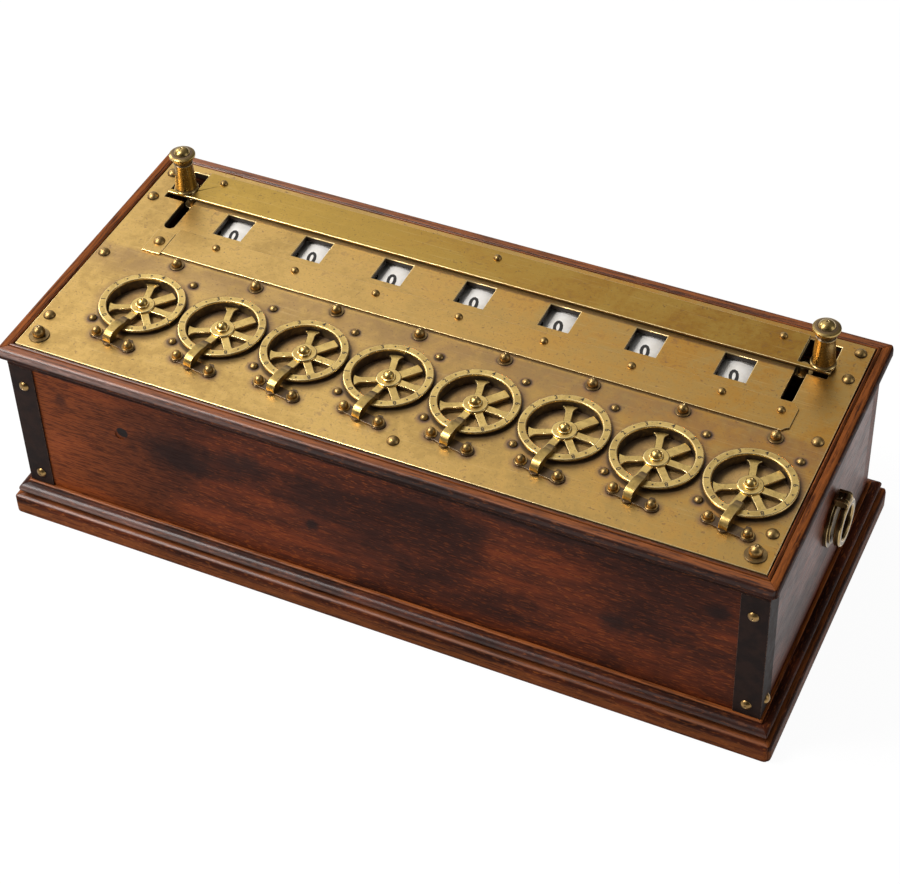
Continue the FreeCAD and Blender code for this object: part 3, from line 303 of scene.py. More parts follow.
@dataclass(frozen=True)
class WoodFinish:
    """Old polished wood: fine flecks along the grain, dark clouds, worn edges and a soft gloss.

    A worn level is a height, the reach of the wear and its strength. A stain is a place along and up the front, its
    reach both ways and its strength; the front's list also holds a painted shadow under the lid. The painted
    highlight, a pale streak that stands in for a lamp's reflection along the front, is a height, its reach, where it
    ends on the right and its strength. The painted light end lightens the left end of the front, as if lit more
    there. The plug is a place along and up and a radius. Lengths are in millimetres.
    """

    name: str
    grain: Grain
    light: Colour
    middle: Colour
    dark: Colour
    worn: Colour
    cloud: float = WOOD_CLOUDS.size
    cloud_share: float = 0.8
    worn_levels: tuple[tuple[float, float, float], ...] = ()
    # Painted light: how strongly the left end of the front is lightened, and over what span.
    painted_light_end: float = 0.0
    painted_light_across: Span = (-176.0, -60.0)
    fleck_share: float = 0.75
    polish_over: Optional[float] = None
    polish_fade: float = 0.8
    polish_across: Span = (-170.0, 60.0)
    polish_right: float = 1.0
    polish_at_ends: float = 0.03
    coat_rough: float = 0.24
    # Painted highlight: a pale streak along the front that stands in for a lamp's reflection.
    painted_highlight: Optional[tuple[float, float, float, float]] = None
    highlight_left: float = -165.0
    highlight_front: Span = (-68.0, -60.0)
    gloss: float = 0.35
    shine: float = 0.45
    polish: float = 0.25
    figure_share: float = 1.0
    # Stains, and a painted shadow where the list holds one.
    stains_and_shadow: tuple[tuple[float, float, float, float, float], ...] = ()
    stain_ragged: float = 1.6
    plug: Optional[tuple[float, float, float]] = None
    plug_edge: float = 0.5
    mitre_reach: float = 100.0
    mitre_fade: float = 0.4
    crosswise_shift: float = 400.0
    # The colour of the painted highlight.
    highlight_colour: Colour = (0.62, 0.38, 0.31)
    plug_colour: Colour = (0.016, 0.011, 0.010)
    relief: float = 0.06
    seed: float = 0.0
    seed_steps: tuple[float, float, float] = (37.0, 11.0, 5.0)

    def _along(self, s: Surface, place: Value) -> Value:
        """Return the place turned so that its first part runs along the grain."""
        x, y, z = s.split(place)
        lengthwise = s.node("ShaderNodeCombineXYZ", None, {0: x, 1: y, 2: z})
        crosswise = s.node("ShaderNodeCombineXYZ", None, {0: y, 1: x + self.crosswise_shift, 2: z})
        if self.grain is Grain.LENGTH:
            return lengthwise
        if self.grain is Grain.DEPTH:
            return crosswise
        return s.blend((abs(x) - abs(y)).over(self.mitre_reach), lengthwise, crosswise)

    def _stain_and_shadow_mask(self, s: Surface, place: Value) -> Value:
        """Return how dark the panel's stains and its painted shadow are, each an ellipse with a ragged edge."""
        x, _, z = s.split(place)
        ragged = (s.noise(place, STAIN_EDGE) - 0.5) * self.stain_ragged
        masks = []
        for middle_x, middle_z, reach_x, reach_z, strength in self.stains_and_shadow:
            reach = distance((x - middle_x) * (1.0 / reach_x), (z - middle_z) * (1.0 / reach_z))
            masks.append((reach + ragged).ease(0.25, 1.15, strength, 0.0))
        return strongest(masks)

    def _rubbed(self, s: Surface, along: Value, z: Value) -> Value:
        """Return how far the edges at the worn levels are rubbed down to bare wood."""
        bands = [
            abs(z - level).ease(reach * 0.4, reach, strength, 0.0) for level, reach, strength in self.worn_levels
        ]
        return strongest(bands) * s.noise(along, WOOD_RUBBING).ease(0.3, 0.6)

    def _painted_highlight(self, x: Value, y: Value, z: Value, fibre: Value) -> Value:
        """Return the painted highlight along one level of the front: a pale streak for a lamp's reflection, strongest
        at the left.
        """
        level, reach, end_x, strength = self.painted_highlight
        pale = abs(z - level).ease(reach * 0.2, reach, strength, 0.0) * x.ease(self.highlight_left, end_x, 1.0, 0.0)
        return pale * y.ease(*self.highlight_front, 1.0, 0.0) * fibre.ease(0.3, 0.6, 1.0, 0.45)

    def _polished(self, x: Value, y: Value, z: Value, figure: Value) -> Union[Value, float]:
        """Return how strong the polish is: even, or only high on the front and the back."""
        if self.polish_over is None:
            return self.polish
        mitre = (self.mitre_reach - self.mitre_fade, self.mitre_reach)
        lengthwise = (abs(x) - abs(y)).ease(*mitre, 1.0, self.polish_at_ends)
        patchy = figure.ease(0.3, 0.6, 0.8, 1.0) * x.ease(*self.polish_across, 1.0, self.polish_right)
        return z.ease(self.polish_over, self.polish_over + self.polish_fade, 0.0, self.polish) * lengthwise * patchy

    def build(self) -> bpy.types.Material:
        """Return the material."""
        s = Surface(bpy.data.materials.new(self.name))
        place = s.place()
        x, y, z = s.split(place)
        along = s.shift(self._along(s, place), [self.seed * step for step in self.seed_steps])
        clouds = s.noise(along, replace(WOOD_CLOUDS, size=self.cloud))
        figure = s.noise(along, WOOD_FIGURE)
        fibre = s.noise(along, WOOD_FIBRE)
        fleck = s.noise(along, WOOD_FLECK)
        shade = clouds.ease(0.42, 0.62) * self.cloud_share
        colour = s.mix(figure.ease(0.35, 0.66) * self.figure_share, self.middle, self.light)
        colour = s.mix(fibre.ease(0.46, 0.66) * 0.5, colour, self.dark)
        colour = s.mix(shade * figure.ease(0.2, 0.5, 0.65, 1.0), colour, self.dark)
        colour = s.mix(fleck.ease(0.56, 0.66) * (1.0 - shade * 0.7) * self.fleck_share, colour, self.worn)
        # Painted light: the left end is lightened towards the worn colour, as if lit more strongly there.
        if self.painted_light_end:
            end = x.ease(*self.painted_light_across, self.painted_light_end, 0.0) * (1.0 - fibre.ease(0.46, 0.6) * 0.7)
            colour = s.mix(end, colour, self.worn)
        if self.stains_and_shadow:
            colour = s.mix(self._stain_and_shadow_mask(s, place), colour, self.dark)
        if self.worn_levels:
            colour = s.mix(self._rubbed(s, along, z), colour, self.worn)
        # Painted highlight: pale colour along one level of the front, fading out to the right.
        if self.painted_highlight is not None:
            colour = s.mix(self._painted_highlight(x, y, z, fibre), colour, self.highlight_colour)
        if self.plug is not None:
            middle_x, middle_z, radius = self.plug
            inside = distance(x - middle_x, z - middle_z).ease(radius, radius + self.plug_edge, 1.0, 0.0)
            colour = s.mix(inside, colour, self.plug_colour)
        rough = clouds.ease(0.3, 0.7, self.gloss, self.gloss + 0.14) + fibre.ease(0.45, 0.7) * 0.12
        height = fibre.ease(0.35, 0.7) * 0.4 + fleck.ease(0.5, 0.75) * 0.3 + figure * 0.5
        return s.principled(
            Base_Color=colour, Roughness=rough, Normal=s.bump(height, self.relief),
            Coat_Weight=self._polished(x, y, z, figure), Coat_Roughness=self.coat_rough,
            Specular_IOR_Level=self.shine,
        )


@dataclass(frozen=True)
class BrassFinish:
    """Old brass: cloudy lacquer, brown stains, fine scratches and bright rubbed edges.

    A spot is a place beside a dial's middle and its reach. A darker level is a height and a reach, and darker below
    is where the darkening low on the piece begins to fade and where it ends; both are painted shade with some grime.
    A shadow line is a painted shadow on the plate: a place across it, its reach and its strength. The shaded rim is a
    place beside a dial's middle and where its painted shade begins and is full. The tips are where the piece is
    darkest and where that ends, from a dial's middle, and its strength. The shaded body is a darker, browner painted
    shade towards the right and the back, and the shaded walls are painted nearly black below their height. Lengths
    are in millimetres.
    """

    name: str
    body: Colour
    deep: Colour
    stain: Colour
    bright: Colour
    cloud: float = BRASS_CLOUDS.size
    # Painted shade: towards the right and the back the body turns darker and browner, for the light falling off.
    shaded_body: Optional[Colour] = None
    shade_slope: float = 1.1
    shade_clouds: float = 90.0
    shade_across: Span = (-60.0, 230.0)
    depth: float = 1.0
    stain_share: float = 0.5
    rough: float = 0.36
    metal: float = 1.0
    brushed: bool = False
    dial_halos: bool = False
    halo_reach: Span = (-1.0, 6.5)
    halo_forward: Span = (-24.0, 6.0)
    band_start: Span = (8.0, 26.0)
    band_end: Span = (31.0, 34.0)
    # Painted contact shadow: a dark line round the foot of each ring.
    ring_contact_shade: Span = (0.1, 1.5)
    spots: tuple[tuple[float, float, float], ...] = ()
    # Painted shade: below this height the walls of the windows and slots are painted nearly black.
    shaded_walls_below: Optional[float] = None
    wall_shade_fade: float = 0.35
    # Darker low on the piece and at given heights: painted shade, with some grime.
    darker_below: Optional[Span] = None
    darker_levels: tuple[Span, ...] = ()
    # Painted shade: a dark crescent round a well's rim, for the ring's shadow.
    shaded_rim: Optional[tuple[float, float, float, float]] = None
    tips: Optional[tuple[float, float, float]] = None
    # Painted shadow lines on the plate in front of the bar and the strip.
    shadow_lines: tuple[tuple[float, float, float], ...] = ()
    shadow_line_ends: Span = (147.0, 149.5)
    # The dark colour of the painted shade and grime.
    shade_and_grime: Colour = (0.045, 0.028, 0.017)
    wall_shade: Colour = (0.022, 0.014, 0.009)
    relief: float = 0.03
    seed: float = 0.0
    seed_steps: tuple[float, float, float] = (53.0, 17.0, 0.0)

    def _halos(self, x: Value, y: Value) -> Value:
        """Return how brown the plate is round the dials and their screws."""
        forward = y - COLUMNS.dial_y
        ring = COLUMNS.gap(x, y) - COLUMNS.ring_radius
        halo = ring.ease(*self.halo_reach, 0.95, 0.0) * forward.ease(*self.halo_forward, 0.6, 1.0)
        halo = halo.most(forward.ease(*self.band_start) * forward.ease(*self.band_end, 0.5, 0.0))
        for dx, dy, reach in self.spots:
            halo = halo.most(COLUMNS.gap(x, y, dx, dy).ease(reach * 0.4, reach, 1.0, 0.0))
        return halo

    def _shade_and_grime_mask(self, x: Value, y: Value, z: Value) -> Optional[Value]:
        """Return where the piece is darkened: low on it and in its grooves with painted shade and grime, round a
        well's rim and along the shadow lines with painted shade, at a finger's tip, and round the rings and screw
        seats with painted contact shadow.
        """
        masks = []
        if self.darker_below is not None:
            masks.append(z.ease(*self.darker_below, 1.0, 0.0))
        for level, reach in self.darker_levels:
            masks.append(abs(z - level).ease(reach * 0.4, reach, 1.0, 0.0))
        # Painted shadow of the ring inside the well, off-centre so that it lies to the back left.
        if self.shaded_rim is not None:
            dx, dy, start, full = self.shaded_rim
            masks.append(COLUMNS.gap(x, y, dx, dy).ease(start, full))
        if self.tips is not None:
            full, end, strength = self.tips
            masks.append(COLUMNS.gap(x, y).ease(full, end, strength, 0.0))
        # Painted shadow lines across the plate, fading out at its ends.
        for level, reach, strength in self.shadow_lines:
            line = abs(y - level).ease(reach * 0.3, reach, strength, 0.0)
            masks.append(line * abs(x).ease(*self.shadow_line_ends, 1.0, 0.0))
        # Painted contact shadow: a dark line round the foot of each ring and a dark seat round each screw.
        if self.dial_halos:
            masks.append((COLUMNS.gap(x, y) - COLUMNS.ring_radius).ease(*self.ring_contact_shade, 0.8, 0.0))
            for dx, dy, reach in self.spots:
                masks.append(COLUMNS.gap(x, y, dx, dy).ease(reach * 0.42, reach * 0.6, 0.8, 0.0))
        return strongest(masks) if masks else None

    def build(self) -> bpy.types.Material:
        """Return the material."""
        s = Surface(bpy.data.materials.new(self.name))
        place = s.place()
        x, y, z = s.split(place)
        moved = s.shift(place, [self.seed * step for step in self.seed_steps])
        clouds = s.noise(moved, replace(BRASS_CLOUDS, size=self.cloud))
        mottle = s.noise(moved, BRASS_MOTTLE)
        specks = s.noise(moved, BRASS_SPECKS)
        streaks = s.noise(moved, BRASS_STREAKS)
        tone = clouds.ease(0.36, 0.64) * 0.6 + mottle.ease(0.35, 0.65) * 0.4
        body = self.body
        # Painted shade: darker and browner towards the right and the back, with a cloudy edge.
        if self.shaded_body is not None:
            falloff = (x + y * self.shade_slope + clouds * self.shade_clouds).ease(*self.shade_across)
            body = s.mix(falloff, self.body, self.shaded_body)
        colour = s.mix(tone.ease(0.0, 1.0, self.depth, 0.0), body, self.deep)
        stained = mottle.ease(0.5, 0.7) * clouds.ease(0.45, 0.62) * self.stain_share
        if self.dial_halos:
            blotch = s.noise(moved, BRASS_BLOTCH)
            halo = self._halos(x, y) * mottle.ease(0.25, 0.55, 0.6, 1.0) * blotch.ease(0.32, 0.58, 0.5, 1.0)
            stained = stained.most(halo * 0.9)
        colour = s.mix(stained, colour, self.stain)
        colour = s.mix(specks.ease(0.6, 0.72) * 0.5, colour, self.stain)
        wear = s.mark("wear")
        colour = s.mix(wear * mottle.ease(0.25, 0.5, 0.4, 0.95), colour, self.bright)
        rough = self.rough + stained * 0.16 + streaks.ease(0.3, 0.7) * 0.05 - wear * 0.1
        height = mottle * 0.6 + specks * 0.5
        if self.brushed:
            scratch = s.noise(moved, BRASS_SCRATCH).ease(0.6, 0.72)
            colour = s.mix(scratch * 0.12, colour, self.bright)
            pits = s.noise(moved, BRASS_PITS).ease(0.7, 0.75)
            colour = s.mix(pits * 0.4, colour, self.stain)
            height = height + streaks.ease(0.3, 0.7) * 0.1 - pits
        metallic = self.metal - stained * 0.35
        # Painted shade, with some grime: the masked places darken and lose some of their metal.
        shade_and_grime = self._shade_and_grime_mask(x, y, z)
        if shade_and_grime is not None:
            shade_and_grime = shade_and_grime * mottle.ease(0.2, 0.6, 0.75, 1.0)
            colour = s.mix(shade_and_grime, colour, self.shade_and_grime)
            metallic = metallic * (1.0 - shade_and_grime * 0.6)
        # Painted shade on the walls of the windows and slots: nearly black and not metallic.
        if self.shaded_walls_below is not None:
            below = z.ease(self.shaded_walls_below - self.wall_shade_fade, self.shaded_walls_below, 1.0, 0.0)
            colour = s.mix(below, colour, self.wall_shade)
            metallic = metallic * (1.0 - below)
        return s.principled(
            Base_Color=colour, Metallic=metallic, Roughness=rough, Normal=s.bump(height, self.relief),
        )


@dataclass(frozen=True)
class PlainFinish:
    """A plain finish with mottled colour, such as lacquered strip, white paint, ink or filed steel."""

    name: str
    body: Colour
    second: Colour
    metal: float = 0.0
    rough: float = 0.4
    size: float = 3.0
    fine_share: float = 0.2
    relief: float = 0.02
    shine: float = 0.5
    worn: Colour = (0.2, 0.15, 0.1)

    def build(self) -> bpy.types.Material:
        """Return the material."""
        s = Surface(bpy.data.materials.new(self.name))
        place = s.place()
        mottle = s.noise(place, Cloud(self.size))
        fine = s.noise(place, Cloud(self.size * self.fine_share, 3.0))
        colour = s.mix(mottle.ease(0.35, 0.65), self.body, self.second)
        colour = s.mix(s.mark("wear") * fine.ease(0.4, 0.6), colour, self.worn)
        rough = mottle.ease(0.3, 0.7, self.rough, self.rough + 0.12) + fine.ease(0.3, 0.7) * 0.06
        return s.principled(
            Base_Color=colour, Metallic=self.metal, Roughness=rough,
            Normal=s.bump(mottle * 0.6 + fine * 0.4, self.relief), Specular_IOR_Level=self.shine,
        )


# The tones of the woods and metals are linear colours. Places and reaches are in millimetres.
PANEL_TONES = {"light": (0.17, 0.031, 0.0065), "middle": (0.075, 0.0155, 0.005), "dark": (0.017, 0.0065, 0.005),
               "worn": (0.31, 0.070, 0.011)}
MOULDING_TONES = {"light": (0.060, 0.0155, 0.0075), "middle": (0.038, 0.0115, 0.0065), "dark": (0.014, 0.0065, 0.005),
                  "worn": (0.38, 0.11, 0.024)}
BASE_TONES = {**MOULDING_TONES, "light": (0.13, 0.029, 0.010), "middle": (0.085, 0.020, 0.008)}
# The last plate tone is the darker, browner painted shade towards the right and the back.
PLATE_TONES = {"body": (0.70, 0.455, 0.15), "deep": (0.49, 0.31, 0.10), "stain": (0.20, 0.112, 0.078),
               "bright": (0.95, 0.73, 0.36), "shaded_body": (0.54, 0.27, 0.050)}
DIAL_TONES = {"body": (0.78, 0.55, 0.185), "deep": (0.54, 0.365, 0.12), "stain": (0.12, 0.072, 0.037),
              "bright": (0.92, 0.69, 0.31)}
SCREW_TONES = {"body": (0.48, 0.31, 0.112), "deep": (0.28, 0.175, 0.064), "stain": (0.10, 0.058, 0.030),
               "bright": (0.95, 0.74, 0.38)}
# Painted shadow lines on the plate, along the front edges of the bar and of the strip.
SHADOW_LINES = ((44.4, 1.6, 0.75), (66.0, 0.9, 0.6), (6.4, 1.1, 0.8))
DIAL_SPOTS = ((0.3, 29.6, 7.0), (13.9, 20.6, 5.0), (-16.2, -15.2, 5.0), (-9.3, -23.3, 6.0), (8.0, -26.3, 6.0))
# The front's stains; the wide flat one high on the right, at 87 mm up, is painted shadow under the lid.
FRONT_STAINS_AND_SHADOW = ((-92.0, 62.0, 25.0, 13.0, 0.9), (-58.0, 69.0, 18.0, 13.0, 0.75), (-28.0, 60.0, 20.0, 22.0, 0.6),
                (-28.2, 46.5, 4.5, 6.0, 0.95), (-4.0, 44.0, 30.0, 18.0, 0.45), (30.0, 76.0, 34.0, 12.0, 0.55),
                (110.0, 46.5, 9.0, 9.0, 0.85), (152.0, 71.5, 7.0, 6.0, 0.9), (84.0, 87.0, 66.0, 6.0, 0.75),
                (-149.0, 74.0, 4.0, 7.0, 0.6))

FINISHES = {
    # The front's left end is lightened with painted light.
    "front_wood": WoodFinish(
        "front_wood", Grain.LENGTH, shine=0.07, polish=0.0, gloss=0.42, stains_and_shadow=FRONT_STAINS_AND_SHADOW,
        plug=(-119.0, 65.5, 2.6), painted_light_end=0.6, fleck_share=0.5, **PANEL_TONES
    ),
    "back_wood": WoodFinish(
        "back_wood", Grain.LENGTH, shine=0.2, polish=0.0, gloss=0.42, fleck_share=0.4, seed=7.0, **PANEL_TONES
    ),
    "end_wood": WoodFinish(
        "end_wood", Grain.DEPTH, shine=0.45, polish=0.0, fleck_share=0.4, seed=2.0, **PANEL_TONES
    ),
    "under_wood": WoodFinish(
        "under_wood", Grain.LENGTH, gloss=0.6, fleck_share=0.4, seed=5.0, **PANEL_TONES
    ),
    # The base has a painted highlight along the front of its torus.
    "base_wood": WoodFinish(
        "base_wood", Grain.MITRED, seed=3.0, worn_levels=((16.8, 0.7, 0.85), (9.4, 0.6, 0.5), (3.5, 4.0, 0.4)),
        cloud=30.0, shine=0.03, polish=1.0, polish_over=8.4, polish_right=0.6, coat_rough=0.38,
        figure_share=0.5, fleck_share=0.4, painted_highlight=(13.6, 1.8, 40.0, 0.22), **BASE_TONES,
    ),
    # The lid has a painted highlight along the front of its nose.
    "lid_wood": WoodFinish(
        "lid_wood", Grain.MITRED, seed=4.0, worn_levels=((97.6, 0.6, 0.6),),
        cloud=30.0, shine=0.03, polish=1.0, polish_over=94.0, polish_right=0.4, coat_rough=0.34,
        figure_share=0.5, fleck_share=0.3, painted_highlight=(95.8, 1.9, -10.0, 0.42), **MOULDING_TONES,
    ),
    # The plate's painted shade: black window and slot walls, contact shadow round rings and screw seats, shadow lines
    # and a browner tone to the right.
    "plate": BrassFinish(
        "plate_brass", brushed=True, dial_halos=True, spots=DIAL_SPOTS, shaded_walls_below=97.6, depth=0.9, stain_share=0.4,
        shadow_lines=SHADOW_LINES, **PLATE_TONES,
    ),
    # The strip has the browner painted shade to the right and the back, and painted shade low on its front edge.
    "strip": BrassFinish(
        "strip_brass", brushed=True, seed=1.0, stain_share=0.35, depth=0.7, darker_below=(98.1, 98.5), **PLATE_TONES
    ),
    # The bar has a browner painted shade to the right and the back, and a painted shadow line low on its front lip.
    "bar": BrassFinish(
        "bar_brass", body=(0.60, 0.385, 0.085), deep=(0.46, 0.29, 0.065), stain=(0.20, 0.12, 0.06),
        bright=(0.92, 0.70, 0.34), shaded_body=(0.36, 0.18, 0.03), brushed=True, stain_share=0.3, depth=0.7,
        darker_below=(98.8, 99.3), seed=6.0,
    ),
    # The ring is darker below its top, on its inner wall: painted shade.
    "ring": BrassFinish(
        "ring_brass", **DIAL_TONES, cloud=9.0, stain_share=0.4, rough=0.33, darker_below=(99.7, 100.4), seed=2.0
    ),
    # The wheel's arms are darker below their tops, on their sides: painted shade.
    "wheel": BrassFinish(
        "wheel_brass", **DIAL_TONES, cloud=9.0, stain_share=0.35, rough=0.3, darker_below=(97.5, 98.2), seed=8.0
    ),
    "finger": BrassFinish(
        "finger_brass", body=(0.54, 0.37, 0.115), deep=(0.34, 0.22, 0.07), stain=(0.11, 0.065, 0.032),
        bright=(0.88, 0.65, 0.28), cloud=5.0, rough=0.28, darker_below=(98.8, 99.9), tips=(14.5, 20.5, 0.85),
        shade_and_grime=(0.075, 0.042, 0.020), seed=9.0,
    ),
    # The well floor is painted with the ring's shadow round its rim.
    "well": BrassFinish(
        "well_brass", body=(0.60, 0.37, 0.125), deep=(0.36, 0.215, 0.075), stain=(0.17, 0.094, 0.042),
        bright=(0.6, 0.4, 0.15), cloud=12.0, stain_share=0.6, rough=0.5, metal=0.3, shaded_rim=(1.4, -1.8, 13.0, 17.0),
        shade_and_grime=(0.09, 0.052, 0.026), seed=3.0,
    ),
    "screw": BrassFinish("screw_brass", **SCREW_TONES, cloud=5.0, rough=0.34, seed=4.0),
    # The screw heads are darker round their bases: painted shade.
    "top_screw": BrassFinish(
        "top_screw_brass", **SCREW_TONES, cloud=5.0, rough=0.36, darker_below=(98.2, 98.9), seed=4.0
    ),
    "corner_screw": BrassFinish(
        "corner_screw_brass", body=(0.38, 0.235, 0.085), deep=(0.22, 0.13, 0.05), stain=(0.09, 0.05, 0.026),
        bright=(0.72, 0.52, 0.26), cloud=4.0, rough=0.3, seed=12.0,
    ),
    # The knob is darker at its grooves and steps: painted shade.
    "knob": BrassFinish(
        "knob_brass", body=(0.47, 0.325, 0.115), deep=(0.27, 0.18, 0.065), stain=(0.10, 0.06, 0.03),
        bright=(0.92, 0.72, 0.38), cloud=9.0, rough=0.26, stain_share=0.2, depth=0.45,
        darker_levels=((99.9, 0.7), (101.4, 0.5), (115.5, 0.6), (120.6, 0.4)), shade_and_grime=(0.13, 0.08, 0.035), seed=10.0,
    ),
    "pull": BrassFinish(
        "pull_bronze", body=(0.19, 0.125, 0.05), deep=(0.095, 0.06, 0.027), stain=(0.035, 0.022, 0.013),
        bright=(0.50, 0.35, 0.16), cloud=6.0, stain_share=0.7, rough=0.3, seed=11.0,
    ),
    "movement": BrassFinish(
        "movement_brass", body=(0.46, 0.32, 0.12), deep=(0.3, 0.2, 0.08), stain=(0.12, 0.07, 0.035),
        bright=(0.7, 0.5, 0.24), cloud=10.0, rough=0.45, seed=5.0,
    ),
    "steel": PlainFinish(
        "filed_steel", body=(0.36, 0.35, 0.34), second=(0.24, 0.22, 0.2), metal=1.0, rough=0.38
    ),
    "corner": PlainFinish(
        "corner_strip_lacquer", body=(0.014, 0.008, 0.007), second=(0.026, 0.014, 0.011), rough=0.42, size=6.0,
        relief=0.05, shine=0.05, worn=(0.09, 0.05, 0.035),
    ),
    "drum": PlainFinish(
        "drum_white", body=(0.88, 0.85, 0.80), second=(0.80, 0.76, 0.69), rough=0.5, size=5.0
    ),
    "ink": PlainFinish(
        "numeral_ink", body=(0.012, 0.011, 0.010), second=(0.03, 0.027, 0.024), rough=0.5, size=0.6
    ),
    "punch": PlainFinish(
        "punched_mark", body=(0.035, 0.022, 0.012), second=(0.06, 0.04, 0.02), rough=0.6, size=0.6
    ),
}


@dataclass(frozen=True)
class Softening:
    """How the sharp edges of a solid are rounded, in millimetres and degrees."""

    width: float = 0.2
    segments: int = 2
    angle: float = 38.0
    where: Callable[[Vector], bool] = lambda point: True


SCREW_HEADS = Softening(0.12, angle=50.0)


@dataclass
class Bench:
    """What every sub-assembly uses to copy, shape and place its pieces."""

    nodes: dict
    merge_gap: float = 0.002
    least_edge: float = 0.001
    flat_angle: float = 0.3
    made: dict = field(default_factory=dict)

    def material(self, finish: str) -> bpy.types.Material:
        """Return a finish's material, and build it the first time."""
        if finish not in self.made:
            self.made[finish] = FINISHES[finish].build()
        return self.made[finish]

    def finish_node(self, node: str, finish: str) -> None:
        """Give a CAD node that stays as it is its material."""
        mesh = self.nodes[node].data
        mesh.materials.clear()
        mesh.materials.append(self.material(finish))
        LOG.info("%s keeps its CAD mesh, finish %s", node, finish)

    def merge(self, shape: bmesh.types.BMesh) -> None:
        """Join a shape's loose triangles and make its flat faces whole."""
        bmesh.ops.remove_doubles(shape, verts=shape.verts, dist=self.merge_gap * MM)
        bmesh.ops.dissolve_degenerate(shape, edges=shape.edges, dist=self.least_edge * MM)
        bmesh.ops.dissolve_limit(
            shape, angle_limit=math.radians(self.flat_angle), use_dissolve_boundaries=False,
            verts=shape.verts, edges=shape.edges,
        )

    def soften(self, shape: bmesh.types.BMesh, softening: Softening) -> None:
        """Round a shape's sharp edges and mark the rounded faces as worn."""
        wear = shape.loops.layers.float.get("wear") or shape.loops.layers.float.new("wear")
        limit = math.radians(softening.angle)
        sharp = [
            edge for edge in shape.edges
            if edge.is_manifold and edge.calc_face_angle_signed(0.0) > limit
            and all(softening.where(vert.co / MM) for vert in edge.verts)
        ]
        if not sharp:
            return
        made = bmesh.ops.bevel(
            shape, geom=sharp, offset=softening.width * MM, offset_type="OFFSET", segments=softening.segments,
            profile=0.5, affect="EDGES", clamp_overlap=False, material=-1, loop_slide=False,
        )
        for face in made["faces"]:
            for loop in face.loops:
                loop[wear] = 1.0

    def add(self, name: str, shape: bmesh.types.BMesh, finish: str, body: str, slot: str,
            replaces: Iterable[str] = (), weighted: bool = True, smooth: float = 35.0) -> bpy.types.Object:
        """Turn a shape into a piece of the machine.

        Args:
            name: the piece's name.
            shape: its shape, freed here.
            finish: its finish.
            body: the CAD body that it rides on.
            slot: a material slot's name, not used.
            replaces: the CAD nodes that it stands for.
            weighted: whether its normals follow its larger faces.
            smooth: the angle in degrees up to which faces blend.

        Returns:
            The new piece.
        """
        mesh = bpy.data.meshes.new(name)
        shape.to_mesh(mesh)
        shape.free()
        mesh.materials.append(self.material(finish))
        for polygon in mesh.polygons:
            polygon.use_smooth = True
        mesh.set_sharp_from_angle(angle=math.radians(smooth))
        piece = show(name, mesh)
        if weighted:
            modifier = piece.modifiers.new("even normals", "WEIGHTED_NORMAL")
            modifier.keep_sharp = True
        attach(piece, body)
        if replaces:
            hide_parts(*replaces)
        LOG.info("%s: %d faces, on %s", name, len(mesh.polygons), body)
        return piece

    def refine(self, node: str, finish: str, body: str, slot: str, softening: Optional[Softening] = None,
               smooth: float = 35.0) -> bpy.types.Object:
        """Replace a CAD node by its own merged shape with softened edges."""
        shape = bmesh.new()
        shape.from_mesh(self.nodes[node].data)
        self.merge(shape)
        if softening is not None:
            self.soften(shape, softening)
        return self.add(node + "_dressed", shape, finish, body, slot, (node,), softening is not None, smooth)


@dataclass
class Numerals:
    """Raised digits, made once and set down many times.

    The weight widens the strokes, narrow is the width as a share of the font's, slant leans the digit, and
    font_share is the height of a digit as a share of the font's size. Lengths are in millimetres.
    """

    height: float
    relief: float
    weight: float = 0.0
    narrow: float = 1.0
    slant: float = 0.0
    font_share: float = 0.73
    curve_steps: int = 3
    meshes: dict = field(default_factory=dict)

    def digit(self, text: str) -> bpy.types.Mesh:
        """Return the closed mesh of one digit, centred, in millimetres."""
        if text not in self.meshes:
            curve = bpy.data.curves.new("digit", "FONT")
            curve.body = text
            curve.align_x = "CENTER"
            curve.align_y = "CENTER"
            curve.size = self.height / self.font_share
            curve.extrude = self.relief / 2
            curve.offset = self.weight
            curve.resolution_u = self.curve_steps
            holder = show("digit", curve)
            bpy.context.view_layer.update()
            evaluated = holder.evaluated_get(bpy.context.evaluated_depsgraph_get())
            self.meshes[text] = bpy.data.meshes.new_from_object(evaluated)
            bpy.data.objects.remove(holder)
            bpy.data.curves.remove(curve)
        return self.meshes[text]

    def stamp(self, shape: bmesh.types.BMesh, text: str, bend: Callable[[Vector], Vector]) -> None:
        """Add a digit to a shape.

        Args:
            shape: the shape that receives it.
            text: the digit.
            bend: where a point of the flat digit goes, from millimetres to metres.
        """
        before = set(shape.verts)
        shape.from_mesh(self.digit(text))
        for vert in shape.verts:
            if vert not in before:
                vert.co = bend(Vector((vert.co.x * self.narrow + vert.co.y * self.slant, vert.co.y, vert.co.z)))


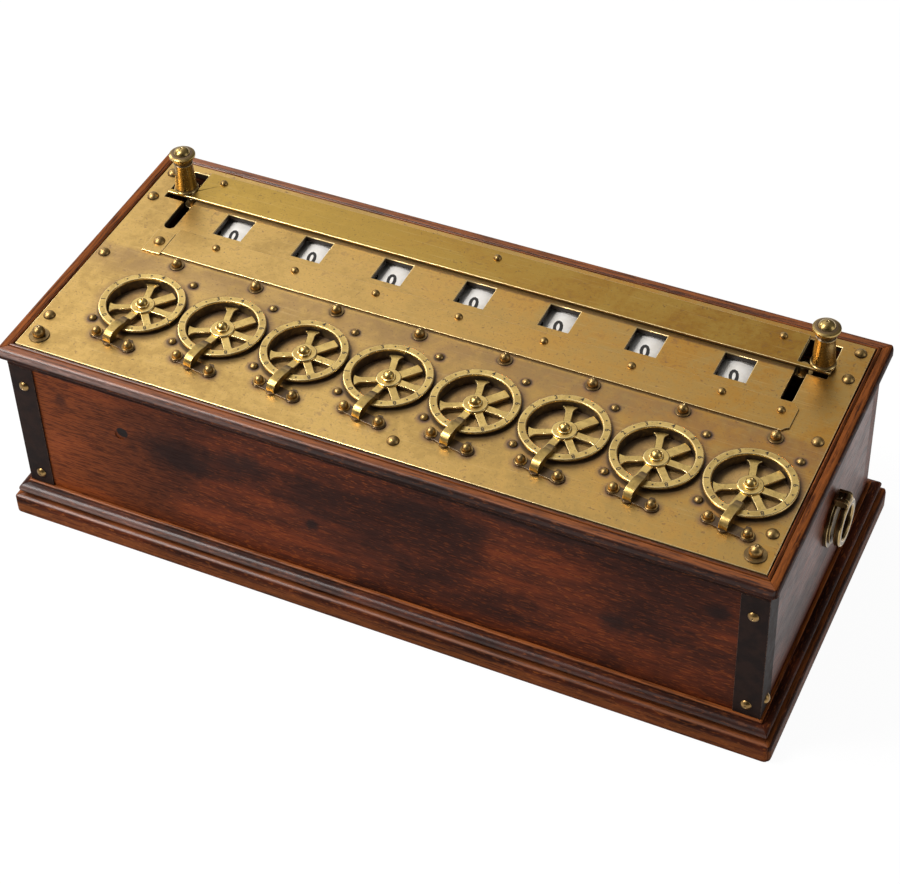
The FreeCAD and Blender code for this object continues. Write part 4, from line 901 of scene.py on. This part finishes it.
@dataclass
class CaseWork:
    """The wooden case: panels, mouldings, corner strips and their screws."""

    half_length: float = 172.2
    half_depth: float = 72.2
    rounding: float = 0.35
    strip_rounding: float = 0.25
    rounding_steps: int = 3
    step_inside: float = 0.02
    sides: tuple[str, ...] = ("front", "back", "right", "left")

    def mitred(self, bench: Bench, node: str) -> bmesh.types.BMesh:
        """Return a moulding's four lengths, each merged by itself so that the mitres stay open."""
        whole = bmesh.new()
        reach = self.half_length - self.half_depth
        for wanted in self.sides:
            part = bmesh.new()
            part.from_mesh(bench.nodes[node].data)
            part.faces.ensure_lookup_table()
            drop = []
            for face in part.faces:
                inside = (face.calc_center_median() - face.normal * self.step_inside * MM) / MM
                end = abs(inside.x) - abs(inside.y) > reach
                side = ("right" if inside.x > 0 else "left") if end else ("front" if inside.y < 0 else "back")
                if side != wanted:
                    drop.append(face)
            bmesh.ops.delete(part, geom=drop, context="FACES")
            bench.merge(part)
            bench.soften(part, Softening(self.rounding, self.rounding_steps))
            mesh = bpy.data.meshes.new("length")
            part.to_mesh(mesh)
            part.free()
            whole.from_mesh(mesh)
            bpy.data.meshes.remove(mesh)
        return whole

    def dress(self, bench: Bench) -> None:
        """Build and finish the case."""
        for node, finish in (("base_moulding", "base_wood"), ("lid_moulding", "lid_wood")):
            bench.add(node + "_dressed", self.mitred(bench, node), finish, "case", "dark_wood", (node,))
        for node, finish in (
            ("front_panel", "front_wood"), ("back_panel", "back_wood"), ("left_end_panel", "end_wood"),
            ("right_end_panel", "end_wood"), ("bottom_board", "under_wood"),
        ):
            bench.finish_node(node, finish)
        bench.refine("corner_strips", "corner", "case", "strip_metal", Softening(self.strip_rounding))
        bench.refine("corner_strip_screws", "corner_screw", "case", "screw_brass", SCREW_HEADS)


@dataclass
class TopWork:
    """The brass plate on top, the strip in front of the windows and all their screws."""

    plate_top: float = 98.0
    edge_margin: float = 0.05
    rounding: float = 0.3
    rim_angle: float = 60.0
    strip_rounding: float = 0.22

    def dress(self, bench: Bench) -> None:
        """Build and finish the plate, the strip and the screws."""
        level = self.plate_top - self.edge_margin
        rims = Softening(self.rounding, angle=self.rim_angle, where=lambda point: point.z > level)
        bench.refine("top_plate", "plate", "case", "plate_brass", rims)
        bench.refine("window_strip", "strip", "case", "plate_brass", Softening(self.strip_rounding))
        bench.refine("top_plate_screws", "top_screw", "case", "screw_brass", SCREW_HEADS)


@dataclass
class DialSet:
    """The eight dials with their rings, wells, stop fingers and punched scales."""

    ring_top: float = 100.8
    mark_radius: float = 17.45
    digit_height: float = 2.2
    digit_weight: float = 0.06
    dot_radius: float = 0.42
    dot_sides: int = 8
    mark_relief: float = 0.06
    mark_lift: float = 0.02
    first_angle: float = -128.0
    ring_rounding: float = 0.3
    rounding: float = 0.22

    def scale(self, bench: Bench) -> None:
        """Punch the digits and dots into the faces of the rings."""
        digits = Numerals(self.digit_height, self.mark_relief, self.digit_weight)
        level = self.ring_top + self.mark_lift
        shape = bmesh.new()
        for x in COLUMNS.xs():
            for index in range(DIGITS):
                angle = math.radians(self.first_angle - DIGIT_STEP * index)
                turn = angle - math.pi / 2

                def bend(point: Vector, angle: float = angle, turn: float = turn, x: float = x) -> Vector:
                    """Return where a point of the flat digit lies on the ring."""
                    spot = Matrix.Rotation(turn, 3, "Z") @ point
                    return Vector((
                        x + self.mark_radius * math.cos(angle) + spot.x,
                        COLUMNS.dial_y + self.mark_radius * math.sin(angle) + spot.y,
                        level + spot.z,
                    )) * MM

                digits.stamp(shape, str(index), bend)
                between = angle + math.radians(DIGIT_STEP) / 2
                centre = Vector((
                    x + self.mark_radius * math.cos(between),
                    COLUMNS.dial_y + self.mark_radius * math.sin(between), level,
                )) * MM
                bmesh.ops.create_cone(
                    shape, cap_ends=True, segments=self.dot_sides, radius1=self.dot_radius * MM,
                    radius2=self.dot_radius * MM, depth=self.mark_relief * MM, matrix=Matrix.Translation(centre),
                )
        bench.add("dial_scale_marks", shape, "punch", "case", "dial_brass", (), False)

    def dress(self, bench: Bench) -> None:
        """Build and finish the dials."""
        bench.refine("dial_rings", "ring", "case", "dial_brass", Softening(self.ring_rounding))
        bench.refine("dial_floors", "well", "case", "dial_brass")
        bench.refine("stop_fingers", "finger", "case", "dial_brass", Softening(self.rounding))
        for k in range(1, COLUMNS.count + 1):
            body = f"dial_wheel_{k}"
            bench.refine(body, "wheel", body, "dial_brass", Softening(self.rounding))
        self.scale(bench)


@dataclass
class CoverBar:
    """The sliding bar behind the windows, with its screws and its two knobs."""

    rounding: float = 0.3
    knob_rounding: float = 0.12
    knob_angle: float = 45.0
    knob_smooth: float = 30.0

    def dress(self, bench: Bench) -> None:
        """Build and finish the bar."""
        turned = Softening(self.knob_rounding, angle=self.knob_angle)
        bench.refine("cover_bar", "bar", "cover_bar", "plate_brass", Softening(self.rounding))
        bench.refine("cover_bar_fasteners", "screw", "cover_bar", "screw_brass", SCREW_HEADS)
        bench.refine("cover_bar_knobs", "knob", "cover_bar", "screw_brass", turned, self.knob_smooth)


@dataclass
class DrumSet:
    """The seven number drums with two rows of digits, one counting up and one counting down."""

    shift_x: float = 11.0
    axis_z: float = 78.6
    radius: float = 15.5
    front_row_y: float = 33.9
    rear_row_y: float = 54.0
    digit_height: float = 7.8
    digit_relief: float = 0.08
    digit_weight: float = 0.38
    digit_narrow: float = 0.82
    digit_slant: float = -0.22
    digit_lift: float = 0.03
    rounding: float = 0.2
    count: int = 7

    def digits(self, bench: Bench, numerals: Numerals, k: int) -> None:
        """Put the two rows of digits on drum number k, counted from 1."""
        axis_x = COLUMNS.xs()[k - 1] + self.shift_x
        shape = bmesh.new()
        for value in range(DIGITS):
            for text, row_y in ((str(value), self.front_row_y), (str(DIGITS - 1 - value), self.rear_row_y)):

                def bend(point: Vector, value: int = value, row_y: float = row_y) -> Vector:
                    """Return where a point of the flat digit lies on the drum."""
                    turn = math.radians(DIGIT_STEP * value) + point.x / self.radius
                    out = self.radius + self.digit_lift + point.z
                    x, z = axis_x + out * math.sin(turn), self.axis_z + out * math.cos(turn)
                    return Vector((x, row_y + point.y, z)) * MM

                numerals.stamp(shape, text, bend)
        bench.add(f"number_drum_{k}_digits", shape, "ink", f"number_drum_{k}", "drum_white", (), False)

    def dress(self, bench: Bench) -> None:
        """Build and finish the drums."""
        numerals = Numerals(
            self.digit_height, self.digit_relief, self.digit_weight, self.digit_narrow, self.digit_slant
        )
        for k in range(1, self.count + 1):
            body = f"number_drum_{k}"
            bench.refine(body, "drum", body, "drum_white", Softening(self.rounding))
            self.digits(bench, numerals, k)


@dataclass
class Movement:
    """The works inside: frame, main shafts, pawls and carry levers."""

    shafts: int = 8
    levers: int = 7

    def dress(self, bench: Bench) -> None:
        """Finish the works, which keep their CAD meshes."""
        bench.finish_node("movement_frame", "movement")
        for k in range(1, self.shafts + 1):
            bench.finish_node(f"main_shaft_{k}", "steel")
            bench.finish_node(f"pawl_{k}", "steel")
        for k in range(1, self.levers + 1):
            bench.finish_node(f"carry_lever_{k}", "steel")


@dataclass
class RingPulls:
    """The two drop rings on their round plates, one on each end of the case."""

    plate_rounding: float = 0.25
    ring_rounding: float = 0.3

    def dress(self, bench: Bench) -> None:
        """Build and finish the ring pulls."""
        bench.refine("handle_rosettes", "pull", "case", "strip_metal", Softening(self.plate_rounding))
        for side in ("left", "right"):
            node = f"ring_handle_{side}"
            bench.refine(node, "pull", node, "screw_brass", Softening(self.ring_rounding))


@dataclass
class Lamp:
    """A soft rectangular lamp, with its place and size in metres and its power in watts."""

    name: str
    place: tuple[float, float, float]
    width: float
    height: float
    power: float
    colour: Colour = (1.0, 1.0, 1.0)
    aim: tuple[float, float, float] = (0.0, 0.0, 0.06)

    def hang(self) -> None:
        """Add the lamp to the scene."""
        light = bpy.data.lights.new(self.name, "AREA")
        light.shape = "RECTANGLE"
        light.size = self.width
        light.size_y = self.height
        light.energy = self.power
        light.color = self.colour
        lamp = show(self.name, light)
        lamp.location = self.place
        lamp.rotation_euler = (Vector(self.aim) - Vector(self.place)).to_track_quat("-Z", "Y").to_euler()


@dataclass
class Studio:
    """The pale floor, the soft light and the camera at the photograph's angle."""

    floor_reach: float = 6.0
    floor_drop: float = 0.0002
    floor_white: float = 0.92
    floor_glow: float = 1.03
    floor_glow_share: float = 0.93
    sensor_width: float = 36.0
    clip: Span = (0.05, 20.0)
    camera_place: tuple[float, float, float] = (0.33187551, -0.66231731, 0.76772515)
    camera_right: tuple[float, float, float] = (0.90246156, 0.42893855, -0.03968438)
    camera_down: tuple[float, float, float] = (0.25966732, -0.61519361, -0.74438545)
    camera_ahead: tuple[float, float, float] = (-0.34370920, 0.66147453, -0.66656990)
    focal_pixels: float = 2350.0
    image_width: float = 900.0
    shift_x: float = 0.04
    shift_y: float = -0.12
    world_across: tuple[float, float, float, float] = (-0.52, 0.2, 1.55, 0.23)
    world_along: tuple[float, float, float, float] = (-0.5, 0.1, 0.4, 1.0)
    world_up: tuple[float, float, float, float] = (0.3, 0.65, 0.4, 1.0)
    lamps: tuple[Lamp, ...] = (
        Lamp("key_softbox", (-1.2, 0.35, 0.75), 0.4, 0.4, 3.4, (1.0, 0.98, 0.95)),
        Lamp("high_left_softbox", (-0.6, -0.3, 1.2), 0.3, 0.3, 8.0),
        Lamp("front_left_softbox", (-0.57, -0.47, 0.65), 0.2, 0.3, 3.6, (1.0, 0.96, 0.95)),
        Lamp("right_softbox", (1.3, 0.1, 0.5), 0.6, 0.8, 2.0, (0.96, 0.98, 1.0)),
    )

    def floor(self) -> None:
        """Lay the floor: nearly white to the eye and in reflections, with the machine's shadow kept."""
        shape = bmesh.new()
        bmesh.ops.create_grid(shape, x_segments=1, y_segments=1, size=self.floor_reach)
        bmesh.ops.translate(shape, verts=shape.verts, vec=(0.0, 0.0, -self.floor_drop))
        mesh = bpy.data.meshes.new("floor")
        shape.to_mesh(mesh)
        shape.free()
        s = Surface(bpy.data.materials.new("pale_floor"))
        rays = s.node("ShaderNodeLightPath", output="Is Camera Ray")
        outputs = rays.socket.node.outputs
        seen = rays.most(Value(s, outputs["Is Glossy Ray"])).most(Value(s, outputs["Is Transmission Ray"]))
        matt = s.node("ShaderNodeBsdfDiffuse", None, {"Color": (self.floor_white,) * 3})
        glow = s.node("ShaderNodeEmission", None, {"Color": (1.0, 1.0, 1.0), "Strength": self.floor_glow})
        mixed = s.node("ShaderNodeMixShader", None, {0: seen * self.floor_glow_share, 1: matt, 2: glow})
        mesh.materials.append(s.close(mixed))
        floor = show("floor", mesh)

    def world(self) -> None:
        """Set the soft light all round: brighter to the left, the back and above."""
        bpy.context.scene.world = bpy.data.worlds.new("studio")
        s = Surface(bpy.context.scene.world)
        x, y, z = s.split(s.node("ShaderNodeTexCoord", output="Generated"))
        strength = x.ease(*self.world_across) * y.ease(*self.world_along) * z.ease(*self.world_up)
        s.close(s.node("ShaderNodeBackground", None, {"Strength": strength}), "ShaderNodeOutputWorld")

    def camera(self) -> None:
        """Stand the camera where the photograph was taken."""
        data = bpy.data.cameras.new("camera")
        data.sensor_width = self.sensor_width
        data.lens = self.focal_pixels * data.sensor_width / self.image_width
        data.shift_x = self.shift_x
        data.shift_y = self.shift_y
        data.clip_start, data.clip_end = self.clip
        eye = show("camera", data)
        axes = (Vector(self.camera_right), -Vector(self.camera_down), -Vector(self.camera_ahead))
        eye.matrix_world = Matrix.Translation(self.camera_place) @ Matrix(axes).transposed().to_4x4()
        bpy.context.scene.camera = eye

    def set_up(self) -> None:
        """Build the whole studio."""
        bpy.context.scene.view_settings.view_transform = "Standard"
        self.floor()
        self.world()
        self.camera()
        for lamp in self.lamps:
            lamp.hang()


def write_sizes() -> None:
    """Update the view layer."""
    bpy.context.view_layer.update()


def main() -> None:
    """Build and dress every sub-assembly, then set up the studio."""
    bench = Bench(frame["nodes"])
    for work in (CaseWork(), TopWork(), DialSet(), CoverBar(), DrumSet(), Movement(), RingPulls()):
        LOG.info("building %s", type(work).__name__)
        work.dress(bench)
    Studio().set_up()
    write_sizes()


if __name__ == "__main__":
    main()
